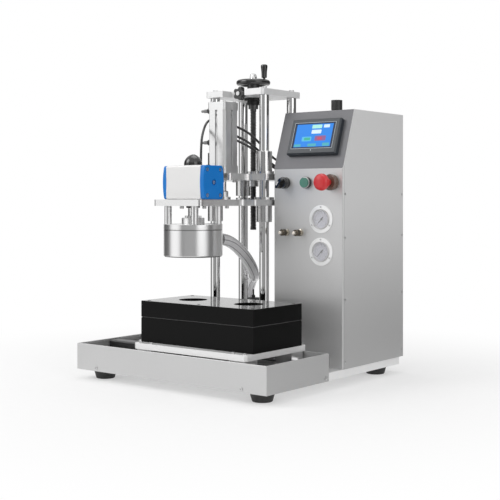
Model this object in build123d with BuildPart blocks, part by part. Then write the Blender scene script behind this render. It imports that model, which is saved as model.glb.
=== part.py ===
"""Jar vacuum capping machine, bench size, in millimetres.

Four columns on a base plate carry a lift carriage with an air cylinder. The cylinder moves a head
plate with a rotary actuator above an open vacuum chamber. A two nest fixture slides under the
chamber, and a sloped cabinet holds the controls.
+Z is up, +X is the operator's right and -Y faces the operator. The origin is on the table, under
the middle of the machine.
"""
import os
from math import acos, cos, pi, radians, sin, sqrt, tan

from build123d import *

os.makedirs("parts", exist_ok=True)

# Fits
running_gap = 0.05
seat_gap = 0.05
soft_gap = 0.3

# Base plate, feet and sheet skirt
machine_width = 600.0
machine_depth = 586.0
foot_height = 24.0
foot_top_d = 60.0
foot_bottom_d = 46.0
foot_inset_side = 50.0
foot_inset_end = 42.0
sheet = 1.5
skirt_depth = 240.0
skirt_height = 65.0
hem_depth = 7.0
hem_thickness = 4.0
base_thickness = 19.0
base_depth = 569.0
base_corner = 6.0

front_y = -machine_depth / 2
base_bottom = foot_height
base_top = base_bottom + base_thickness
base_front = front_y + sheet
base_rear = base_front + base_depth

# Working axis: chamber, nest and lift screw share this x, set from the cabinet's side and the front
cabinet_width = 206.0
head_from_cabinet = 116.0
head_from_front = 125.0

cabinet_left = machine_width / 2 - cabinet_width
cabinet_right = machine_width / 2
head_x = cabinet_left - head_from_cabinet
head_y = front_y + head_from_front

# Columns and lift screw
column_d = 25.0
column_pitch_x = 162.0
column_pitch_y = 117.0
columns_behind_head = 180.0
top_plate_bottom = 715.0
top_plate_thickness = 16.0
top_plate_width = 190.0
top_plate_depth = 165.0
notch_width = 72.0
notch_depth = 35.0
plate_corner = 8.0
screw_d = 16.0
screw_bottom = 370.0
bearing_drop = 18.0

column_front_y = head_y + columns_behind_head
column_rear_y = column_front_y + column_pitch_y
screw_y = (column_front_y + column_rear_y) / 2
top_plate_front = (column_front_y + column_rear_y - top_plate_depth) / 2
notch_floor = top_plate_front + notch_depth
top_plate_top = top_plate_bottom + top_plate_thickness
column_spots = [
    (head_x + side * column_pitch_x / 2, y) for y in (column_front_y, column_rear_y) for side in (-1, 1)
]
front_columns = column_spots[:2]
rear_columns = column_spots[2:]

# Linear bushes
bush_d = 40.0
bush_length = 57.0
bush_flange_d = 50.0
bush_flange = 6.0
bush_drop = 39.0
collar_height = 5.0

# Lift carriage
carriage_bottom = 498.0
carriage_thickness = 17.0
carriage_neck_width = 100.0
carriage_width = 214.0
carriage_front = head_y + 80.0
carriage_step = column_front_y - 25.0
plate_rear = column_rear_y + 29.0
inner_corner = 12.0
nut_d = 28.0
nut_flange_d = 38.0
nut_flange = 8.0
nut_length = 40.0

carriage_top = carriage_bottom + carriage_thickness

# Air cylinder on the carriage
cylinder_side = 56.0
cylinder_y = head_y + 115.0
cylinder_length = 180.0
cylinder_bore = 50.0
cylinder_cap = 20.0
slot_width = 7.0
slot_depth = 3.5
rod_d = 16.0
piston_length = 16.0
stroke = 80.0

cylinder_top = carriage_top + cylinder_length

# Head plate and rotary actuator
head_bottom = 434.0
head_thickness = 15.5
head_neck_width = 152.0
head_width = 224.0
head_front = head_y - 61.0
head_step = head_y + 102.0
actuator_length = 110.0
actuator_width = 74.0
actuator_height = 83.0
actuator_cap = 12.0
cap_end_width = 66.0
cap_bow = 5.0
cap_screw_pitch = (48.0, 62.0)
actuator_bore = 54.0
dome_d = 45.0
dome_height = 28.0

head_top = head_bottom + head_thickness
actuator_mid = head_top + actuator_height / 2
actuator_top = head_top + actuator_height

# Rack and pinion
gear_module = 1.25
gear_teeth = 16
gear_width = 30.0
rack_backlash = 0.16
rack_back = 20.0
rack_reach = 21.0
piston_face = 22.5
piston_thickness = 11.0
pressure_angle = radians(20)

pitch_radius = gear_module * gear_teeth / 2

# Vacuum chamber
chamber_d = 144.0
chamber_wall_t = 8.0
chamber_bottom = 312.0
chamber_height = 78.0
lid_thickness = 14.0
post_d = 18.0
post_radius = 61.0
seal_width = 4.0
seal_depth = 3.0
seal_proud = 1.5
spindle_d = 18.0
coupling_d = 24.0
bearing_cap_d = 56.0
bearing_cap_height = 15.0
chuck_d = 84.0
chuck_height = 30.0
chuck_mouth_d = 70.0
chuck_throat_d = 56.0

chamber_top = chamber_bottom + chamber_height
lid_bottom = chamber_top - lid_thickness

# Shuttle: rails, bearing blocks, slide plate and fixture
rail_height = 48.0
rail_d = 16.0
rail_above_base = 26.0
rail_foot_width = 40.0
rail_foot_height = 5.0
rail_web = 9.0
rail_inset = 10.5
rail_spacing = 176.0
block_side = 45.0
block_height = 33.0
block_end_inset = 30.0
slide_length = 346.0
slide_width = 231.0
slide_forward = 3.2
slide_thickness = 14.0
nest_pitch = 174.0
nest_d = 70.0
nest_depth = 70.0
fixture_width = 185.0
fixture_base_height = 59.5
fixture_top_height = 40.0
fixture_edge = 1.5

rail_length = machine_width - 2 * sheet - 2 * rail_inset
slide_x = head_x + nest_pitch / 2
slide_y = head_y - slide_forward
slide_bottom = base_top + rail_height
slide_top = slide_bottom + slide_thickness
fixture_joint = slide_top + fixture_base_height
fixture_top_z = fixture_joint + fixture_top_height
nest_floor = fixture_top_z - nest_depth
rail_axis = base_top + rail_above_base

# Shuttle cylinder under the slide plate
shuttle_side = 34.0
shuttle_side_gap = 9.0
shuttle_body_length = 250.0
shuttle_bore = 25.0
shuttle_cap = 14.0
shuttle_rod_d = 10.0
shuttle_piston = 10.0
shuttle_foot = 14.0
shuttle_foot_wings = 24.0
bracket_thickness = 12.0
bracket_reach = 85.0

shuttle_axis = base_top + rail_above_base
shuttle_body_left = shuttle_side_gap - machine_width / 2
bracket_x = slide_x + bracket_reach

# Cabinet
cabinet_set_back = 300.0
cabinet_height = 626.0
slope_start = 525.0
slope_run = 49.0
cabinet_corner = 3.0

cabinet_front = front_y + cabinet_set_back
cabinet_rear = machine_depth / 2
cabinet_top = base_top + cabinet_height
slope_rise = cabinet_top - slope_start
slope_top_y = cabinet_front + slope_run
slope_length = sqrt(slope_rise**2 + slope_run**2)

# Panel furniture
control_z = 491.0
selector_x = cabinet_left + 36.0
button_x = cabinet_left + 100.0
estop_x = cabinet_left + 174.5
gauge_x = cabinet_left + 143.0
gauge_heights = (323.0, 402.0)
gauge_flange_d = 68.0
gauge_dial_d = 44.0
gauge_depth = 34.0
gauge_proud = 5.0
valve_spots = (cabinet_left + 39.5, cabinet_left + 81.5)
valve_z = 368.0
valve_body = 8.0
knob_travel = 4.0
selector_collar = 13.0
button_collar = 9.0
estop_collar = 15.0
screen_x = cabinet_left + 111.5
screen_width = 146.0
screen_length = 93.5
screen_start = 33.0
screen_proud = 15.0
glass_width = 119.5
glass_length = 66.5
glass_shift = 2.0
regulator_spot = (cabinet_left + 122.0, cabinet_front + 100.0)

# Handwheel
wheel_d = 90.0
wheel_bottom = 748.0
wheel_rim = 15.0
hub_bottom = 734.0
grip_radius = 36.0
grip_top_d = 18.0
grip_bottom_d = 14.0
grip_bottom = 766.0
grip_top = 801.0

# Hoses and tubes
hose_d = 30.0
tube_d = 6.0
hose_port_z = 350.0
hose_start_y = head_y + 92.0
port_thread = 14.0
band_thickness = 1.2


def write(piece, name):
    """Names the piece after its file and saves it."""
    piece.part.label = name
    export_step(piece.part, "parts/" + name + ".step")


def turned(profile, at, up=(0, 0, 1), side=(1, 0, 0)):
    """Spins a closed outline of (radius, height) points about the direction `up` through `at`."""
    plane = Plane(origin=at, x_dir=side, z_dir=Vector(side).cross(Vector(up)))
    with BuildPart() as piece:
        with BuildSketch(plane):
            with BuildLine():
                Polyline(*profile, close=True)
            make_face()
        revolve(axis=Axis(at, up))
    return piece


def facing_front(x, y, z, turn=0.0):
    """A plane that looks at the operator, with local X to the right, or turned up by some degrees."""
    return Plane(origin=(x, y, z), x_dir=(cos(radians(turn)), 0, sin(radians(turn))), z_dir=(0, -1, 0))


# Base plate: one milled plate, its long edges broken
with BuildPart() as base_plate:
    with BuildSketch(Plane.XY.offset(base_bottom)):
        with Locations((0, (base_front + base_rear) / 2)):
            Rectangle(machine_width - 2 * sheet, base_depth)
    extrude(amount=base_thickness)
    fillet(base_plate.edges().filter_by(Axis.Z).group_by(Axis.Y)[-1], base_corner)
    chamfer(base_plate.faces().sort_by(Axis.Z)[-1].edges().sort_by(Axis.Y)[-1], 0.8)
write(base_plate, "base_plate")

# Rubber feet: four cones that narrow towards the table, each with a recess for its screw
foot_x = machine_width / 2 - foot_inset_side
foot_ys = (front_y + foot_inset_side, base_rear - foot_inset_end)
foot_spots = [(x, y) for x in (-foot_x, foot_x) for y in foot_ys]
with BuildPart() as rubber_feet:
    with Locations(*[(x, y, foot_height / 2) for x, y in foot_spots]):
        Cone(foot_bottom_d / 2, foot_top_d / 2, foot_height)
    chamfer(rubber_feet.edges().group_by(Axis.Z)[0], 1.2)
    with BuildSketch():
        with Locations(*foot_spots):
            Circle(7)
    extrude(amount=12, mode=Mode.SUBTRACT)
write(rubber_feet, "rubber_feet")

# Skirt: folded sheet round the shuttle, hemmed along its top, its rear wall on the base plate
with BuildPart() as tray_skirt:
    skirt_mid = front_y + skirt_depth / 2
    with BuildSketch(Plane.XY.offset(base_bottom)):
        with Locations((0, skirt_mid)):
            Rectangle(machine_width, skirt_depth)
            Rectangle(machine_width - 2 * sheet, skirt_depth - 2 * sheet, mode=Mode.SUBTRACT)
    extrude(amount=skirt_height)
    with BuildSketch(Plane.XY.offset(base_bottom + skirt_height - hem_depth)):
        with Locations((0, skirt_mid)):
            Rectangle(machine_width, skirt_depth)
            Rectangle(machine_width - 2 * hem_thickness, skirt_depth - 2 * hem_thickness, mode=Mode.SUBTRACT)
    extrude(amount=hem_depth)
    with BuildSketch(Plane.XY.offset(base_bottom)):
        with Locations((0, front_y + skirt_depth)):
            Rectangle(machine_width - 2 * sheet, 4 * sheet)
    extrude(amount=base_thickness, mode=Mode.SUBTRACT)
    fillet(tray_skirt.faces().sort_by(Axis.Z)[-1].edges(), 1.4)
write(tray_skirt, "tray_skirt")

# Guide columns: ground bars from the base plate to the top plate, with a broken edge at each end
with BuildPart() as guide_columns:
    with BuildSketch(Plane.XY.offset(base_top)):
        with Locations(*column_spots):
            Circle(column_d / 2)
    extrude(amount=top_plate_bottom - base_top)
    chamfer(guide_columns.edges().filter_by(GeomType.CIRCLE).group_by(Axis.Z)[-1], 0.8)
write(guide_columns, "guide_columns")

# Top plate: notched at the front so that the air cylinder can rise past it
with BuildPart() as top_plate:
    with BuildSketch(Plane.XY.offset(top_plate_bottom)):
        with Locations((head_x, top_plate_front + top_plate_depth / 2)):
            RectangleRounded(top_plate_width, top_plate_depth, plate_corner)
        with Locations((head_x, top_plate_front + notch_depth / 2)):
            Rectangle(notch_width, notch_depth, mode=Mode.SUBTRACT)
        with Locations((head_x, screw_y)):
            Circle(screw_d / 2 + running_gap, mode=Mode.SUBTRACT)
    extrude(amount=top_plate_thickness)
    with BuildSketch(facing_front(head_x, notch_floor, top_plate_bottom + top_plate_thickness / 2)):
        Circle(3 + running_gap)
    extrude(amount=-(screw_y - screw_d / 2 - notch_floor), mode=Mode.SUBTRACT)
    chamfer(top_plate.faces().sort_by(Axis.Z)[-1].edges().filter_by(GeomType.LINE), 0.6)
write(top_plate, "top_plate")

# Screw bearing: flanged housing under the top plate that takes the lift screw's thrust
screw_bearing = turned(
    [
        (screw_d / 2 + running_gap, -bearing_drop), (15, -bearing_drop), (16, 1 - bearing_drop),
        (16, -6), (24, -6), (24, 0), (screw_d / 2 + running_gap, 0),
    ],
    (head_x, screw_y, top_plate_bottom),
)
write(screw_bearing, "screw_bearing")

# Lift screw: plain journals above the thread, a collar under the bearing and a dome nut on top
collar_top = -bearing_drop - running_gap
lead_screw = turned(
    [
        (0, screw_bottom - top_plate_bottom), (screw_d / 2 - 1, screw_bottom - top_plate_bottom),
        (screw_d / 2, screw_bottom - top_plate_bottom + 1), (screw_d / 2, collar_top - 10),
        (13, collar_top - 10), (13, collar_top), (screw_d / 2, collar_top),
        (screw_d / 2, hub_bottom - top_plate_bottom + 1),
        (6, hub_bottom - top_plate_bottom + 1), (6, wheel_bottom + wheel_rim - top_plate_bottom),
        (9.5, wheel_bottom + wheel_rim - top_plate_bottom), (9.5, 57), (8.2, 61), (5.5, 64), (0, 65.5),
    ],
    (head_x, screw_y, top_plate_bottom),
)
write(lead_screw, "lead_screw")

# Handwheel: moulded wheel with a solid web, a rounded rim and a hub that stands on the top plate
wheel_r = wheel_d / 2
with BuildPart() as handwheel:
    with BuildSketch(Plane(origin=(head_x, screw_y, wheel_bottom), x_dir=(1, 0, 0), z_dir=(0, -1, 0))):
        with BuildLine():
            Polyline(
                (6 + running_gap, hub_bottom - wheel_bottom + 1 + running_gap),
                (screw_d / 2 + 7, hub_bottom - wheel_bottom + 1 + running_gap),
                (screw_d / 2 + 9, 4), (wheel_r - 15, 6), (wheel_r - 12, 1.5),
            )
            ThreePointArc((wheel_r - 12, 1.5), (wheel_r - 6, 0), (wheel_r, wheel_rim / 2))
            ThreePointArc((wheel_r, wheel_rim / 2), (wheel_r - 6, wheel_rim), (wheel_r - 12, wheel_rim - 1.5))
            Polyline(
                (wheel_r - 12, wheel_rim - 1.5), (wheel_r - 15, wheel_rim - 5),
                (screw_d / 2 + 6, wheel_rim - 5), (screw_d / 2 + 5, wheel_rim), (6 + running_gap, wheel_rim),
                (6 + running_gap, hub_bottom - wheel_bottom + 1 + running_gap),
            )
        make_face()
    revolve(axis=Axis((head_x, screw_y, wheel_bottom), (0, 0, 1)))
    with BuildSketch(Plane.XY.offset(wheel_bottom)):
        with Locations((head_x + grip_radius, screw_y)):
            Circle(3 + running_gap)
    extrude(amount=wheel_rim + 2, mode=Mode.SUBTRACT)
write(handwheel, "handwheel")

# Handle: tapered grip that spins on its own stud in the wheel's rim
grip_length = grip_top - grip_bottom
handle_grip = turned(
    [
        (0, -14), (3, -14), (3, 0.3), (grip_bottom_d / 2 - 1, 0.3), (grip_bottom_d / 2, 1.5),
        (grip_bottom_d / 2 + 0.4, grip_length * 0.45), (grip_top_d / 2, grip_length - 5),
        (grip_top_d / 2 - 0.8, grip_length - 1.2), (grip_top_d / 2 - 3, grip_length), (0, grip_length),
    ],
    (head_x + grip_radius, screw_y, grip_bottom),
)
write(handle_grip, "handle_grip")

# Clamp knob: five lobed star knob whose stud closes on the lift screw
knob_mid = top_plate_bottom + top_plate_thickness / 2
with BuildPart() as clamp_knob:
    with BuildSketch(facing_front(head_x, notch_floor - 2, knob_mid)):
        Circle(13)
        with PolarLocations(12, 5):
            Circle(6)
    extrude(amount=13)
    fillet(clamp_knob.faces().sort_by(Axis.Y)[0].edges(), 1.5)
    with BuildSketch(facing_front(head_x, notch_floor - 0.3, knob_mid)):
        Circle(8)
    extrude(amount=2)
    with BuildSketch(facing_front(head_x, notch_floor - 15, knob_mid)):
        Circle(6)
    extrude(amount=2.5)
    with BuildSketch(facing_front(head_x, notch_floor, knob_mid)):
        Circle(3)
    extrude(amount=-(screw_y - screw_d / 2 - notch_floor - 0.3))
    with BuildSketch(facing_front(head_x, notch_floor, knob_mid)):
        Circle(3)
    extrude(amount=1)
write(clamp_knob, "clamp_knob")


def stepped_plate(z, thickness, neck_width, width, front, step, holes):
    """A lift plate: a narrow neck that widens with swept corners behind `step`, and its round holes."""
    with BuildPart() as plate:
        with BuildSketch(Plane.XY.offset(z)):
            with Locations((head_x, (step + plate_rear) / 2)):
                Rectangle(width, plate_rear - step)
            with Locations((head_x, (front + step) / 2)):
                Rectangle(neck_width, step - front)
        extrude(amount=thickness)
        inner = [
            e for e in plate.edges().filter_by(Axis.Z)
            if abs(e.center().Y - step) < 0.1 and abs(abs(e.center().X - head_x) - neck_width / 2) < 0.1
        ]
        fillet(inner, inner_corner)
        outer = plate.edges().filter_by(Axis.Z).filter_by(GeomType.LINE)
        corners = [e for e in outer if min(abs(e.center().Y - front), abs(e.center().Y - plate_rear)) < 0.1]
        sides = [e for e in outer if abs(abs(e.center().X - head_x) - width / 2) < 0.1]
        shoulders = [e for e in sides if e not in corners]
        fillet(corners + shoulders, plate_corner)
        for spots, radius in holes:
            with BuildSketch(Plane.XY.offset(z)):
                with Locations(*spots):
                    Circle(radius)
            extrude(amount=thickness, mode=Mode.SUBTRACT)
    return plate


# Carriage plate: carries the air cylinder, the lift nut and four bushes
carriage_holes = [
    (front_columns, column_d / 2 + 0.5),
    (rear_columns, bush_d / 2 + seat_gap),
    ([(head_x, screw_y)], nut_d / 2 + seat_gap),
    ([(head_x, cylinder_y)], rod_d / 2 + 2),
]
carriage_plate = stepped_plate(
    carriage_bottom, carriage_thickness, carriage_neck_width, carriage_width, carriage_front, carriage_step,
    carriage_holes,
)
write(carriage_plate, "carriage_plate")

# Head plate: the same form with a longer neck, over the chamber
head_holes = [
    (column_spots, bush_d / 2 + seat_gap),
    ([(head_x, screw_y)], screw_d / 2 + 3),
    ([(head_x, head_y)], coupling_d / 2 + 1),
]
head_plate = stepped_plate(
    head_bottom, head_thickness, head_neck_width, head_width, head_front, head_step, head_holes
)
write(head_plate, "head_plate")


def bushes(outline, spots, z):
    """Turned linear bushes on some columns."""
    with BuildPart() as group:
        for x, y in spots:
            with BuildSketch(Plane(origin=(x, y, z), x_dir=(1, 0, 0), z_dir=(0, -1, 0))):
                with BuildLine():
                    Polyline(*outline, close=True)
                make_face()
            revolve(axis=Axis((x, y, z), (0, 0, 1)))
    return group


# Bushes: flanged ones stand on the carriage in front, plain ones hang below it behind
bush_bore = column_d / 2 + running_gap
bush_r = bush_d / 2
flange_r = bush_flange_d / 2
standing_bush = [
    (bush_bore, 0), (flange_r, 0), (flange_r, bush_flange), (bush_r, bush_flange),
    (bush_r, bush_length - 1), (bush_r - 1, bush_length), (bush_bore, bush_length),
]
hanging_bush = [
    (bush_bore, -bush_drop), (bush_r - 1, -bush_drop), (bush_r, 1 - bush_drop),
    (bush_r, carriage_thickness + 2), (bush_r - 1, carriage_thickness + 3),
    (bush_bore, carriage_thickness + 3),
]
with BuildPart() as carriage_bushes:
    add(bushes(standing_bush, front_columns, carriage_top).part)
    add(bushes(hanging_bush, rear_columns, carriage_bottom).part)
write(carriage_bushes, "carriage_bushes")

front_head_bush = [
    (bush_bore, head_thickness - bush_length), (bush_r - 1, head_thickness - bush_length),
    (bush_r, head_thickness - bush_length + 1), (bush_r, head_thickness), (flange_r, head_thickness),
    (flange_r, head_thickness + bush_flange), (bush_bore, head_thickness + bush_flange),
]
rear_head_bush = [
    (bush_bore, 0), (bush_r, 0), (bush_r, head_thickness + collar_height - 1),
    (bush_r - 1, head_thickness + collar_height), (bush_bore, head_thickness + collar_height),
]
with BuildPart() as head_bushes:
    add(bushes(front_head_bush, front_columns, head_bottom).part)
    add(bushes(rear_head_bush, rear_columns, head_bottom).part)
write(head_bushes, "head_bushes")

# Lift nut: bronze flange nut on the carriage, with four bolt seats round its flange
nut_outline = [
    (screw_d / 2 + running_gap, nut_flange - nut_length), (nut_d / 2 - 1, nut_flange - nut_length),
    (nut_d / 2, nut_flange - nut_length + 1), (nut_d / 2, 0), (nut_flange_d / 2, 0),
    (nut_flange_d / 2, nut_flange), (screw_d / 2 + running_gap, nut_flange),
]
with BuildPart() as lift_nut:
    add(turned(nut_outline, (head_x, screw_y, carriage_top)).part)
    with BuildSketch(Plane.XY.offset(carriage_top + nut_flange)):
        with Locations((head_x, screw_y)):
            with PolarLocations(14.5, 4, start_angle=45):
                Circle(2.4)
    extrude(amount=-4, mode=Mode.SUBTRACT)
write(lift_nut, "lift_nut")

# Air cylinder: square extruded tube with sensor slots, a cap at each end, bored for its piston
with BuildPart() as air_cylinder:
    with BuildSketch(Plane.XY.offset(carriage_top)):
        with Locations((head_x, cylinder_y)):
            RectangleRounded(cylinder_side, cylinder_side, 5)
    extrude(amount=cylinder_length)
    tube_bottom = carriage_top + cylinder_cap
    tube_length = cylinder_length - 2 * cylinder_cap
    with BuildSketch(Plane.XY.offset(tube_bottom)):
        with Locations((head_x, cylinder_y)):
            with PolarLocations(cylinder_side / 2 - slot_depth / 2, 4):
                Rectangle(slot_depth, slot_width)
            with PolarLocations(cylinder_side / 2 * sqrt(2) - 2.5, 4, start_angle=45):
                Rectangle(7, 9)
    extrude(amount=tube_length, mode=Mode.SUBTRACT)
    with BuildSketch(Plane.XY.offset(tube_bottom)):
        with Locations((head_x, cylinder_y)):
            Circle(cylinder_bore / 2)
    extrude(amount=tube_length, mode=Mode.SUBTRACT)
    with BuildSketch(Plane.XY.offset(carriage_top)):
        with Locations((head_x, cylinder_y)):
            Circle(rod_d / 2 + running_gap)
    extrude(amount=cylinder_cap, mode=Mode.SUBTRACT)
write(air_cylinder, "air_cylinder")

# Piston and rod: the rod ends in a coupling flange screwed to the head plate
rod_top = cylinder_top - cylinder_cap - 4 - carriage_top
piston_r = cylinder_bore / 2 - running_gap
to_head = head_top - carriage_top
piston_rod = turned(
    [
        (0, to_head), (19, to_head), (19, to_head + 7), (13, to_head + 7), (13, to_head + 20),
        (11, to_head + 22), (rod_d / 2, to_head + 22), (rod_d / 2, rod_top - piston_length),
        (piston_r, rod_top - piston_length), (piston_r, rod_top - piston_length + 5),
        (piston_r - 1.5, rod_top - piston_length + 5), (piston_r - 1.5, rod_top - piston_length + 9),
        (piston_r, rod_top - piston_length + 9), (piston_r, rod_top), (0, rod_top),
    ],
    (head_x, cylinder_y, carriage_top),
)
write(piston_rod, "piston_rod")

# Cylinder fittings: two throttles on the left face and the tube clip on the rear face
cylinder_left = head_x - cylinder_side / 2
cylinder_back = cylinder_y + cylinder_side / 2
clip_bottom = 592.0
clip_top = 645.0
clip_width = 24.0
clip_depth = 14.0
throttle_z = (594.0, 674.0)
throttle_forward = 18.0
with BuildPart() as cylinder_fittings:
    for z in throttle_z:
        throttle_root = (cylinder_left, cylinder_y - throttle_forward, z)
        left_face = Plane(origin=throttle_root, x_dir=(0, 0, 1), z_dir=(-1, 0, 0))
        with BuildSketch(left_face):
            RegularPolygon(7, 6)
        extrude(amount=6)
        with BuildSketch(left_face.offset(6)):
            Circle(4.6)
        extrude(amount=12)
        with BuildSketch(left_face.offset(18)):
            Circle(3.4)
        extrude(amount=9)
    with BuildSketch(Plane.XY.offset(clip_bottom)):
        with Locations((head_x, cylinder_back + clip_depth / 2)):
            RectangleRounded(clip_width, clip_depth, 3)
    extrude(amount=clip_top - clip_bottom)
write(cylinder_fittings, "cylinder_fittings")

# Actuator body: extruded housing bored along X for the two rack pistons, two elbows behind
port_side = 12.0
port_y = head_y + actuator_width / 2 + 6
with BuildPart() as actuator_body:
    with BuildSketch(Plane.YZ.offset(head_x - actuator_length / 2)):
        with Locations((head_y, actuator_mid)):
            RectangleRounded(actuator_width, actuator_height, 5)
            Circle(actuator_bore / 2, mode=Mode.SUBTRACT)
    extrude(amount=actuator_length)
    with BuildSketch(Plane.XY.offset(head_top)):
        with Locations((head_x, head_y)):
            Circle(spindle_d / 2 + running_gap)
    extrude(amount=actuator_height, mode=Mode.SUBTRACT)
    port_root = (head_x, head_y + actuator_width / 2, actuator_mid + 20)
    with BuildSketch(Plane(origin=port_root, x_dir=(-1, 0, 0), z_dir=(0, 1, 0))):
        with Locations((-port_side, 0), (port_side, 0)):
            RectangleRounded(13, 13, 2)
    extrude(amount=12)
    with BuildSketch(Plane.XY.offset(actuator_mid + 26.5)):
        with Locations((head_x - port_side, port_y), (head_x + port_side, port_y)):
            Circle(5)
    extrude(amount=18)
write(actuator_body, "actuator_body")

# Actuator caps: end covers with bowed sides, four corner screws and a stop screw in a pit
cap_face = actuator_length / 2
cap_half_height = actuator_height / 2 - 0.5
cap_end = cap_end_width / 2
with BuildPart() as actuator_caps:
    for side in (-1, 1):
        joint_face = Plane(
            origin=(head_x + side * cap_face, head_y, actuator_mid), x_dir=(0, side, 0), z_dir=(side, 0, 0)
        )
        cover_face = joint_face.offset(actuator_cap)
        with BuildSketch(joint_face) as cover:
            with BuildLine():
                for way in (-1, 1):
                    corner = (way * cap_end, -way * cap_half_height)
                    opposite = (way * cap_end, way * cap_half_height)
                    ThreePointArc(corner, (way * (cap_end + cap_bow), 0), opposite)
                    Line(opposite, (-way * cap_end, way * cap_half_height))
            make_face()
            fillet(cover.vertices(), 6)
        extrude(amount=actuator_cap)
        chamfer(actuator_caps.faces().sort_by(Axis.X)[0 if side < 0 else -1].edges(), 1.5)
        with BuildSketch(cover_face):
            Circle(7.5)
            with GridLocations(*cap_screw_pitch, 2, 2):
                Circle(5)
        extrude(amount=-4, mode=Mode.SUBTRACT)
        with BuildSketch(cover_face.offset(-4)):
            Circle(4.2)
            with GridLocations(*cap_screw_pitch, 2, 2):
                Circle(4)
        extrude(amount=3.5)
write(actuator_caps, "actuator_caps")


def involute_gear(teeth, module, z, height, at, thinning):
    """Spur gear with involute flanks, a tooth on the Y axis and each flank set back by `thinning`."""
    pitch = module * teeth / 2
    base = pitch * cos(pressure_angle)
    tip = pitch + module
    root = pitch - 1.25 * module
    half = pi / (2 * teeth) + tan(pressure_angle) - pressure_angle - thinning / pitch

    def flank(radius):
        angle = acos(min(1.0, base / radius))
        return half - (tan(angle) - angle)

    radii = [max(base, root) + (tip - max(base, root)) * k / 4 for k in range(5)]
    with BuildPart() as gear:
        with BuildSketch(Plane.XY.offset(z)):
            with Locations(at):
                Circle(root)
                for tooth in range(teeth):
                    middle = pi / 2 + 2 * pi * tooth / teeth
                    right = [(r * cos(middle - flank(r)), r * sin(middle - flank(r))) for r in radii]
                    left = [(r * cos(middle + flank(r)), r * sin(middle + flank(r))) for r in reversed(radii)]
                    foot = root - 0.3
                    outer = (foot * cos(middle + half), foot * sin(middle + half))
                    inner = (foot * cos(middle - half), foot * sin(middle - half))
                    Polygon(*([inner] + right + left + [outer]), align=None)
        extrude(amount=height)
    return gear


# Pinion shaft: the toothed middle drives the coupling and chuck, and turns the indicator on top
chuck_top = lid_bottom - 4
journal = spindle_d / 2
pinion_bottom = actuator_mid - gear_width / 2
with BuildPart() as pinion_shaft:
    add(involute_gear(
        gear_teeth, gear_module, pinion_bottom, gear_width, (head_x, head_y), rack_backlash / 2
    ).part)
    with BuildSketch(Plane.XY.offset(actuator_mid + gear_width / 2)):
        with Locations((head_x, head_y)):
            Circle(gear_module * (gear_teeth / 2 - 1.25))
    extrude(amount=8.5)
    with BuildSketch(Plane.XY.offset(actuator_mid + gear_width / 2 + 8.5)):
        with Locations((head_x, head_y)):
            Circle(journal)
    extrude(amount=actuator_height / 2 - gear_width / 2 - 8.5)
    with BuildSketch(Plane.XY.offset(head_top)):
        with Locations((head_x, head_y)):
            Circle(journal)
    extrude(amount=actuator_height / 2 - gear_width / 2 - 8.5)
    with BuildSketch(Plane.XY.offset(actuator_mid - gear_width / 2 - 8.5)):
        with Locations((head_x, head_y)):
            Circle(gear_module * (gear_teeth / 2 - 1.25))
    extrude(amount=8.5)
    with BuildSketch(Plane.XY.offset(chamber_top + bearing_cap_height + 1)):
        with Locations((head_x, head_y)):
            Circle(coupling_d / 2)
    extrude(amount=head_top - chamber_top - bearing_cap_height - 1)
    with BuildSketch(Plane.XY.offset(chuck_top)):
        with Locations((head_x, head_y)):
            Circle(journal)
    extrude(amount=chamber_top + bearing_cap_height + 1 - chuck_top)
write(pinion_shaft, "pinion_shaft")


def rack_piston(side):
    """Piston on the `side` end whose rack arm passes the pinion; +1 is the right one."""
    arm_side = -1 if side < 0 else 1
    half_pitch = pi * gear_module / 2
    tip = pitch_radius - gear_module
    root = pitch_radius + 1.25 * gear_module
    half_gap_pitch = pi * gear_module / 4 + rack_backlash / 2
    grow = tan(pressure_angle)
    with BuildPart() as piston:
        with BuildSketch(Plane.XY.offset(actuator_mid - gear_width / 2 + 1)):
            with Locations((head_x, head_y)):
                arm_mid = side * (piston_face - rack_reach) / 2
                with Locations((arm_mid, arm_side * (rack_back + tip) / 2)):
                    Rectangle(piston_face + rack_reach, rack_back - tip)
                count = int(rack_reach / (2 * half_pitch))
                for step in range(-count, count + 1):
                    centre = step * 2 * half_pitch
                    top = half_gap_pitch + (root - pitch_radius) * -grow
                    mouth = half_gap_pitch + (pitch_radius - tip + 0.2) * grow
                    Polygon(
                        (centre - mouth, arm_side * (tip - 0.2)), (centre + mouth, arm_side * (tip - 0.2)),
                        (centre + top, arm_side * root), (centre - top, arm_side * root),
                        align=None, mode=Mode.SUBTRACT,
                    )
        extrude(amount=gear_width - 2)
        start = head_x + side * piston_face
        with BuildSketch(Plane(origin=(start, head_y, actuator_mid), x_dir=(0, side, 0), z_dir=(side, 0, 0))):
            Circle(actuator_bore / 2 - running_gap)
        extrude(amount=piston_thickness)
    return piston


# Rack pistons: one on each side of the pinion, moved outwards together
for side, name in ((-1, "rack_piston_left"), (1, "rack_piston_right")):
    rack = rack_piston(side)
    write(rack, name)

# Indicator: moulded dome on the shaft's upper end, with a pointer flat across it
with BuildPart() as indicator_dome:
    with BuildSketch(Plane(origin=(head_x, head_y, actuator_top), x_dir=(1, 0, 0), z_dir=(0, -1, 0))):
        with BuildLine():
            Line((0, 0.3), (dome_d / 2, 0.3))
            Line((dome_d / 2, 0.3), (dome_d / 2, 6))
            ThreePointArc((dome_d / 2, 6), (dome_d * 0.34, dome_height * 0.72), (0, dome_height))
            Line((0, dome_height), (0, 0.3))
        make_face()
    revolve(axis=Axis((head_x, head_y, actuator_top), (0, 0, 1)))
    with BuildSketch(Plane.XY.offset(actuator_top + dome_height - 3)):
        with Locations((head_x, head_y)):
            Rectangle(dome_d, 5)
    extrude(amount=4, mode=Mode.SUBTRACT)
write(indicator_dome, "indicator_dome")

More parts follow.
